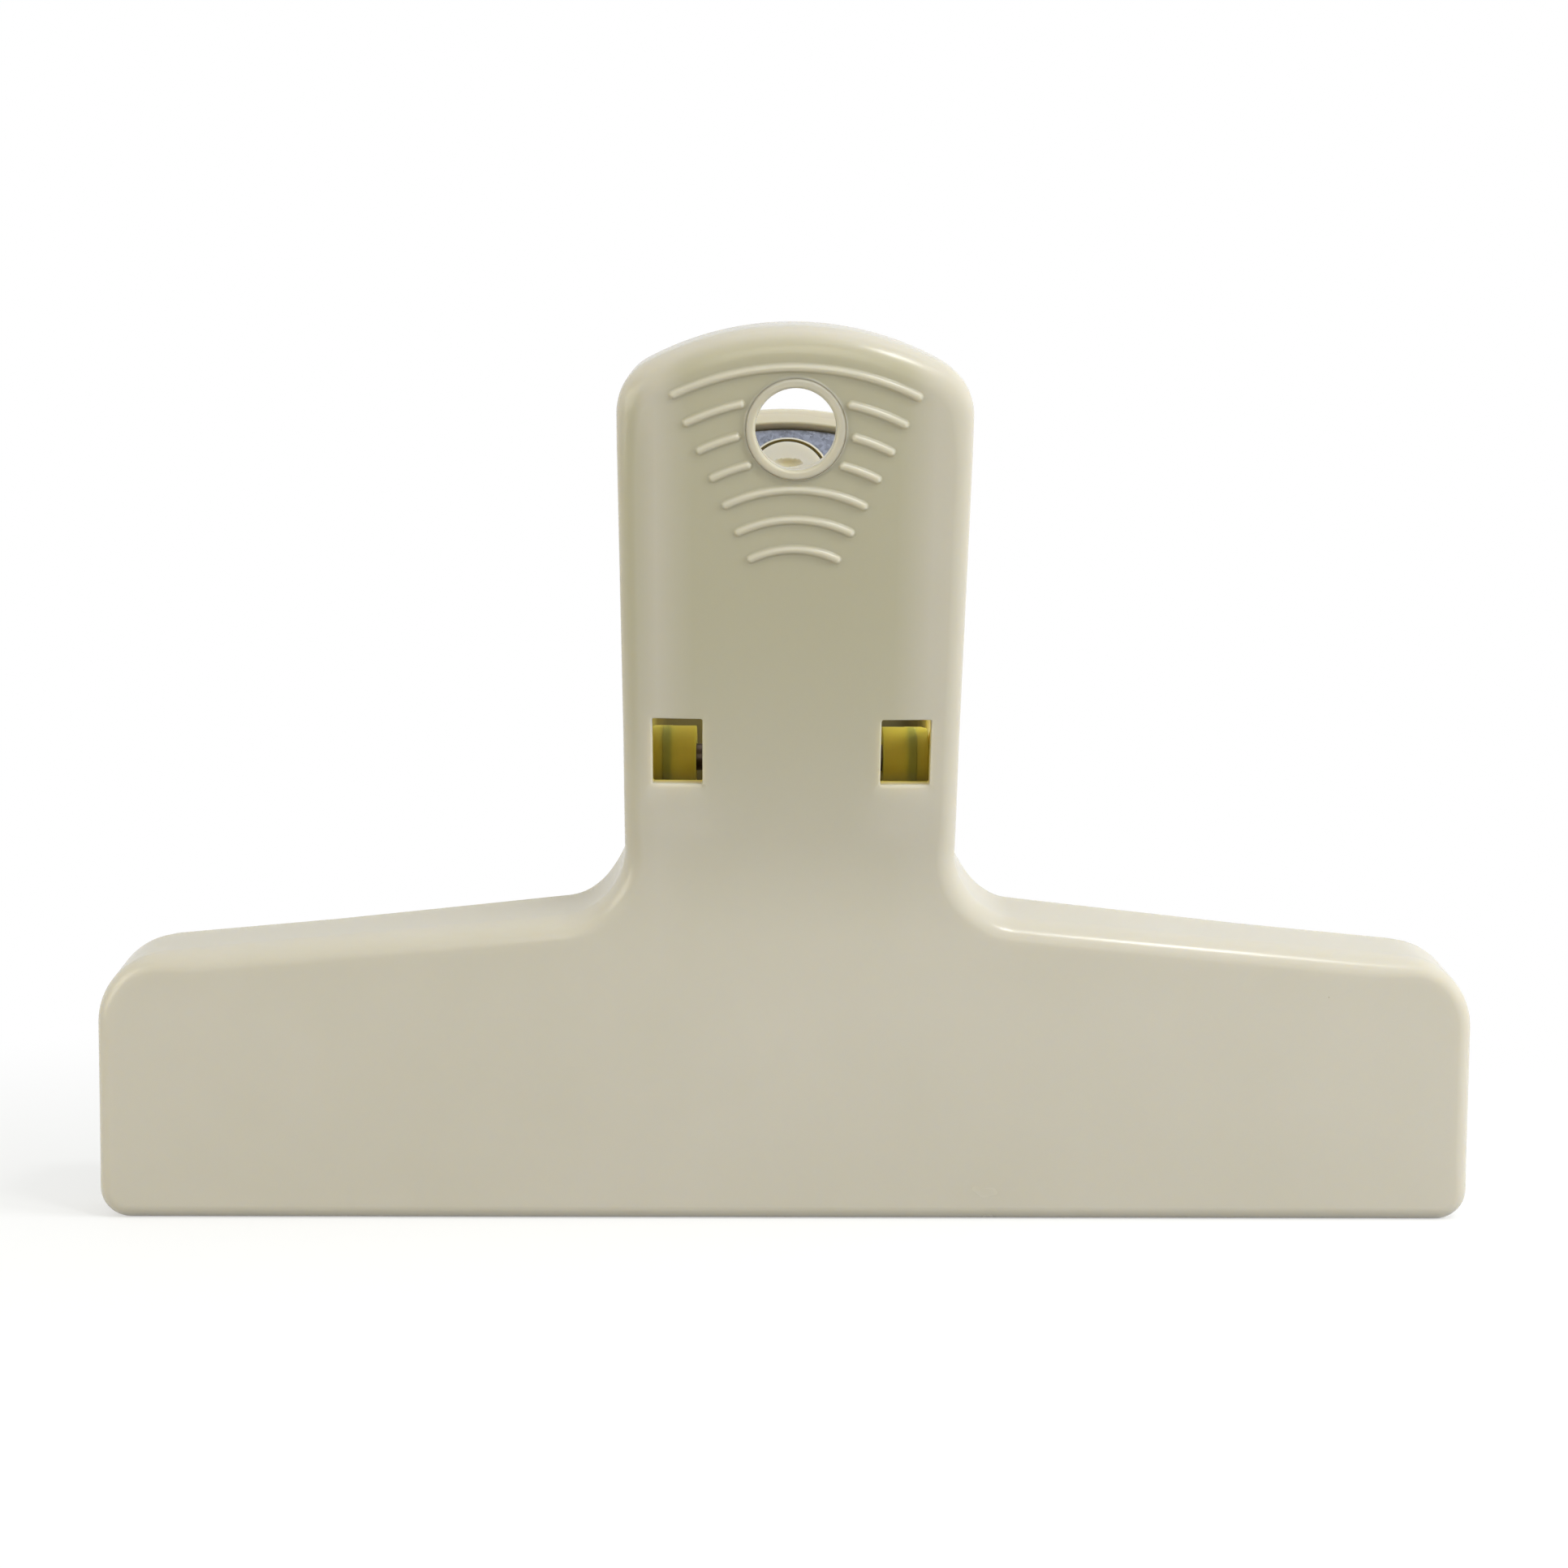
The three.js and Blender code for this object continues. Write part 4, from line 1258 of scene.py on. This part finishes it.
def backLever():
    shell = newShell()
    f = backFittings
    width, low, high = f["pocket"]
    half, grow, top = width / 2, f["collar"], f["collarTop"]
    pocket = rectangleLoop(-half, half, low, high, f["corner"])
    tail = circleLoop(0, f["rivetHeight"], f["tailHole"], f["bossSides"])
    addTray(shell, backReach, False, [{"loop": pocket, **f["cutEdges"]}, {"loop": tail, **f["cutEdges"]}])
    for sideX in (1, -1):
        addBackEar(shell, sideX)
    collar = rectangleLoop(-half - grow, half + grow, low - grow, high + grow, f["corner"] + grow)
    foot = lever["wall"] - lever["sunk"]
    addSlab(shell, collar, [pocket], foot, top, f["collarEdge"], throughFace, insideShade)
    radii = (f["shankHole"], f["bossRadius"])
    levels = (f["tailDepth"], top)
    addTube(shell, (0, f["rivetHeight"]), radii, levels, f["collarEdge"], throughFace, f["bossSides"])
    addHook(shell)
    addSpringSeat(shell, wireHalf())
    shadeInside(shell)
    return makeObject("backLever", shell, 1, plastic, "back", "back_lever")


backLever()

magnetBlock = {
    "width": 22.0,
    "bottom": 19.9,
    "height": 14.0,
    "corner": 0.8,
    "proud": 0.3,  # out of the back handle's face
    "depth": 6.0,
    "edge": 0.35,
}
steelPlate = {
    "width": 25.4,
    "bottom": 18.3,
    "corner": 2.0,
    "gap": 0.3,
    "low": 6.1,
    "thickness": 0.8,
    "edge": 0.12,
    "cornerTurns": 8,
    "topTurns": 30,
    "holeSides": 48,
}
rivet = {
    "head": 5.1,
    "shank": 2.0,
    "tail": 3.1,
    "tailLow": 0.3,
    "tailHigh": 1.2,
    "under": 7.0,  # of the head
    "top": 8.0,
    # the rounded rim and the groove inside it: how far in from the head's side, and how far below its top
    "rim": [(0, 0.25), (0.1, 0.12), (0.28, 0.12), (0.4, 0.4), (0.55, 0.4), (0.7, 0.04)],
    "inGroove": (0.48, 0.15, 0.2),  # below the top from and to, and in from the side
    "face": 4.3,
    "faceStep": 0.1,
    "faceRings": 34,
    "soft": 0.12,
    "sides": 128,
    "dent": (1.8, 0.6),  # half width and height of the oval dent
    "dentLift": 1.55,  # above the head's middle
    "dentDepth": 0.6,
    "dentPower": 0.75,
    # painted golden shade in the dent
    "dentShade": 0.35,
}


def magnetPiece():
    m = magnetBlock
    shell = newShell()
    loop = rectangleLoop(-m["width"] / 2, m["width"] / 2, m["bottom"], m["bottom"] + m["height"], m["corner"])
    addSlab(shell, loop, [], -m["proud"], m["depth"], m["edge"], throughFace, 0.0)
    return makeObject("magnetBlock", shell, 1, magnetGrey, "back", "magnet")


def platePiece():
    p = steelPlate
    radius = lever["topRadius"] - lever["wall"] - p["gap"]
    r = p["corner"]
    x = p["width"] / 2 - r
    s = backFan + math.sqrt((radius - r) ** 2 - x ** 2)
    turn = math.atan2(s - backFan, x)
    arcs = [
        (x, p["bottom"] + r, r, -quarter, 0, p["cornerTurns"]),
        (x, s, r, 0, turn, p["cornerTurns"]),
        (0, backFan, radius, turn, quarter, p["topTurns"]),
    ]
    right = []
    for cx, cs, cr, a0, a1, count in arcs:
        for a in np.linspace(a0, a1, count):
            right.append([cx + cr * math.cos(a), cs + cr * math.sin(a), math.cos(a), math.sin(a)])
    right = np.array(right)
    leastStep = 0.01
    apart = np.ones(len(right), bool)
    apart[1:] = np.hypot(*(right[1:, :2] - right[:-1, :2]).T) > leastStep
    right = right[apart]
    left = right[:-1][::-1] * np.array([-1, 1, -1, 1])
    loop = np.concatenate([right, left])
    shell = newShell()
    hole = circleLoop(0, backFittings["rivetHeight"], backFittings["shankHole"], p["holeSides"])
    high = p["low"] + p["thickness"]
    addSlab(shell, (loop[:, :2], loop[:, 2:]), [hole], p["low"], high, p["edge"], throughFace, 0.0)
    return makeObject("steelPlate", shell, 1, zincPlate, "back", "magnet_plate")


def dentAt(x, s):
    wide, tall = rivet["dent"]
    middle = backFittings["rivetHeight"] + rivet["dentLift"]
    return np.clip(1 - (x / wide) ** 2 - ((s - middle) / tall) ** 2, 0, 1) ** rivet["dentPower"]


def rivetPiece():
    v = rivet
    head, face, top, step = v["head"], v["face"], v["top"], v["faceStep"]
    edge = [(0, v["tailLow"]), (v["tail"], v["tailLow"]), (v["tail"], v["tailHigh"]),
            (v["shank"], v["tailHigh"]), (v["shank"], v["under"]), (head, v["under"])]
    edge += [(head - inward, top - down) for inward, down in v["rim"]]
    edge += [(face, top), (face - step, top)]
    rings = [(r, top) for r in np.linspace(face - 2 * step, 0, v["faceRings"])]
    shell = newShell()
    profile = np.concatenate([softProfile(edge, v["soft"]), rings])
    addTurned(shell, profile, (0, backFittings["rivetHeight"]), throughFace, v["sides"], 0.0)
    points, normals = np.concatenate(shell["points"]), np.concatenate(shell["normals"])
    x, s, w = points.T
    tiny = 0.02
    spread = np.hypot(x, s - backFittings["rivetHeight"])
    onTop = (w > top - tiny) & (spread < face)
    dent = dentAt(x, s)
    slopeX = (dentAt(x + tiny, s) - dentAt(x - tiny, s)) / (2 * tiny)
    slopeS = (dentAt(x, s + tiny) - dentAt(x, s - tiny)) / (2 * tiny)
    points[onTop, 2] -= v["dentDepth"] * dent[onTop]
    dented = np.column_stack([slopeX, slopeS]) * v["dentDepth"]
    normals[onTop] = np.column_stack([dented, np.ones(len(x))])[onTop]
    low, high, inward = v["inGroove"]
    inGroove = (w > top - low) & (w < top - high) & (spread < head - inward) & (spread > face)
    # painted shade: golden in the dent, dark in the groove inside the rim
    paintedGrooveShade = 2.0
    recess = np.where(onTop, v["dentShade"] * dent, paintedGrooveShade * inGroove)
    shell.update(points=[points], normals=[normals], recess=[recess])
    return makeObject("magnetRivet", shell, 1, plastic, "back", "magnet_rivet")


magnetPiece()
platePiece()
rivetPiece()

pin = {"radius": 1.5, "half": 17.6, "soft": 0.3, "sides": 48}


def pinPiece():
    shell = newShell()
    r, half = pin["radius"], pin["half"]
    profile = softProfile([(0, -half), (r, -half), (r, half), (0, half)], pin["soft"])
    addTurned(shell, profile, (0, lever["hingeDepth"]), acrossClip, pin["sides"], 0.0)
    return makeObject("hingePin", shell, 1, rodSteel, "back", "hinge_pin")


# Rounds a line off by drawing its points toward their neighbours.
def softened(line, times):
    for _ in range(times):
        line[1:-1] = (line[:-2] + 2 * line[1:-1] + line[2:]) / 4
    return line


# The wire's middle line from the front foot to the back foot, measured from the hinge axis.
def springPath():
    foot, knee, leaving = springLeg()
    half, radius = wireHalf(), spring["coilRadius"]
    leave = radius * np.array([math.cos(leaving), math.sin(leaving)])
    bent = np.linspace(foot, knee, spring["footPoints"])[:-1]
    straight = np.linspace(knee, leave, spring["legPoints"])[:-1]
    flat = softened(np.concatenate([bent, straight]), spring["kneeSoftening"])
    front = np.column_stack([np.full(len(flat), -half), -flat[:, 0], flat[:, 1]])
    back = np.column_stack([np.full(len(flat), half), flat[:, 0], flat[:, 1]])[::-1]
    turns = np.linspace(0, 1, spring["turnPoints"] * spring["turns"] + 1)
    angles = -math.pi - leaving + springAngle() * turns
    coil = np.column_stack([-half + 2 * half * turns, radius * np.cos(angles), radius * np.sin(angles)])
    return softened(np.concatenate([front, coil, back]), spring["wireSoftening"])


def springPiece():
    path = springPath()
    r, last = spring["wire"] / 2, len(path) - 1
    tangents = np.gradient(path, axis=0)
    tangents /= np.linalg.norm(tangents, axis=1)[:, None]
    across = np.cross(tangents[0], [1.0, 0, 0])
    circle = circleLoop(0, 0, 1, spring["sides"])[1]
    shell = newShell()
    rings = []
    rows = [(0, size) for size in spring["ends"]] + [(i, 1.0) for i in range(len(path))]
    rows += [(last, size) for size in reversed(spring["ends"])]
    for i, size in rows:
        across = across - tangents[i] * np.dot(across, tangents[i])
        across /= np.linalg.norm(across)
        other = np.cross(tangents[i], across)
        out = circle[:, :1] * across + circle[:, 1:] * other
        face = out
        if size < 1:
            face = np.broadcast_to(tangents[i] if i else -tangents[i], out.shape)
        rings.append(addPoints(shell, path[i] + out * r * size, face, 0.0))
    bridgeAll(shell, rings)
    shell["points"] = [p + np.array([0, 0, hingeHeight]) for p in shell["points"]]
    piece = makeObject("torsionSpring", shell, 0, springSteel, None, "torsion_spring")
    half = wireHalf() * mm
    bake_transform(piece)
    return piece


pinPiece()
springPiece()
print("pieces made")

studio = {
    "floorColor": (0.42, 0.42, 0.42),
    "floorHalf": 1.6,  # metres
    "floorTiles": 8,
    "paperColor": (0.93, 0.93, 0.93),
    "glowNear": 0.5,  # how much of the floor beside the clip is plain white
    "glowReach": (0.07, 0.22),  # metres, from where on it grows and from where on all of it is
    "skyTop": (0.62, 0.64, 0.66),
    "skyBottom": (0.98, 0.92, 0.62),
    "skyBand": (-0.4, 0.7),  # where bottom passes into top; -1 is straight down and 1 straight up
    "skyStrength": 1.0,
    "lampsAimAt": (0, 0, 0.045),  # metres
}
lamps = [
    # name, place mm, size mm, power W, colour, mirrored in the gloss or not
    ("key", (176, -251, 379), (70, 70), 0.42, (0.97, 0.99, 1.0), True),
    ("right", (397, -145, 204), (220, 180), 1.35, (0.98, 0.99, 1.0), False),
    ("front", (0, -435, 166), (180, 180), 0.26, (1.0, 0.97, 0.84), True),
    ("left", (-300, -170, 90), (180, 180), 0.31, (1.0, 0.94, 0.76), True),
]


# The camera and mirror rays see what is shown, every other ray sees the shader.
def whiteToCamera(add, link, shader, shown):
    path = add("ShaderNodeLightPath")
    seen = path.outputs["Is Camera Ray"]
    for ray in ("Is Glossy Ray", "Is Transmission Ray"):
        either = add("ShaderNodeMath", operation="MAXIMUM")
        link(seen, either.inputs[0])
        link(path.outputs[ray], either.inputs[1])
        seen = either.outputs[0]
    mix = add("ShaderNodeMixShader")
    link(seen, mix.inputs[0])
    link(shader, mix.inputs[1])
    link(shown, mix.inputs[2])
    return mix.outputs[0]


# Paper that glows white farther from the clip and takes its shadow near it.
def floorMaterial():
    material = bpy.data.materials.new("floorPaper")
    add, link = freshNodes(material)
    output = add("ShaderNodeOutputMaterial")
    diffuse = add("ShaderNodeBsdfDiffuse")
    diffuse.inputs[0].default_value = (*studio["floorColor"], 1)
    paper = add("ShaderNodeBsdfDiffuse")
    paper.inputs[0].default_value = (*studio["paperColor"], 1)
    glow = add("ShaderNodeEmission")
    glow.inputs["Strength"].default_value = 1.0
    pale = add("ShaderNodeMixShader")
    coords = add("ShaderNodeTexCoord")
    away = add("ShaderNodeVectorMath", operation="LENGTH")
    link(coords.outputs["Object"], away.inputs[0])
    fade = add("ShaderNodeMapRange", interpolation_type="SMOOTHSTEP")
    fade.inputs["From Min"].default_value, fade.inputs["From Max"].default_value = studio["glowReach"]
    fade.inputs["To Min"].default_value = studio["glowNear"]
    fade.inputs["To Max"].default_value = 1.0
    link(away.outputs["Value"], fade.inputs["Value"])
    link(fade.outputs[0], pale.inputs[0])
    link(paper.outputs[0], pale.inputs[1])
    link(glow.outputs[0], pale.inputs[2])
    link(whiteToCamera(add, link, diffuse.outputs[0], pale.outputs[0]), output.inputs["Surface"])
    return material


def makeFloor():
    count = studio["floorTiles"]
    grid = np.linspace(-studio["floorHalf"], studio["floorHalf"], count + 1)
    points = [(x, y, 0) for y in grid for x in grid]
    faces = []
    for row in range(count):
        for column in range(count):
            low = row * (count + 1) + column
            high = low + count + 1
            faces.append((low, low + 1, high + 1, high))
    mesh = bpy.data.meshes.new("floor")
    mesh.from_pydata(points, [], faces)
    mesh.materials.append(floorMaterial())
    floor = placeObject("floor", mesh)


def makeWorld():
    world = bpy.data.worlds.new("studio")
    bpy.context.scene.world = world
    add, link = freshNodes(world)
    output = add("ShaderNodeOutputWorld")
    coords = add("ShaderNodeTexCoord")
    split = add("ShaderNodeSeparateXYZ")
    link(coords.outputs["Generated"], split.inputs[0])
    height = add("ShaderNodeMapRange")
    height.inputs["From Min"].default_value, height.inputs["From Max"].default_value = studio["skyBand"]
    link(split.outputs["Z"], height.inputs["Value"])
    color = mixColor(add, link, height.outputs[0], studio["skyBottom"], studio["skyTop"])
    sky = add("ShaderNodeBackground")
    sky.inputs["Strength"].default_value = studio["skyStrength"]
    link(color, sky.inputs["Color"])
    white = add("ShaderNodeBackground")
    white.inputs["Strength"].default_value = 1.0
    white.inputs["Color"].default_value = (1, 1, 1, 1)
    link(whiteToCamera(add, link, sky.outputs[0], white.outputs[0]), output.inputs["Surface"])


def makeLamps():
    for name, place, size, power, color, mirrored in lamps:
        data = bpy.data.lights.new(name, "AREA")
        data.shape = "RECTANGLE"
        data.size, data.size_y = size[0] * mm, size[1] * mm
        data.energy = power
        data.color = color
        lamp = placeObject(name, data)
        lamp.visible_glossy = mirrored
        lamp.location = Vector(place) * mm
        aim = Vector(studio["lampsAimAt"]) - lamp.location
        lamp.rotation_euler = aim.to_track_quat("-Z", "Y").to_euler()


makeFloor()
makeWorld()
makeLamps()
bpy.context.scene.view_settings.view_transform = "Standard"
print("studio set")
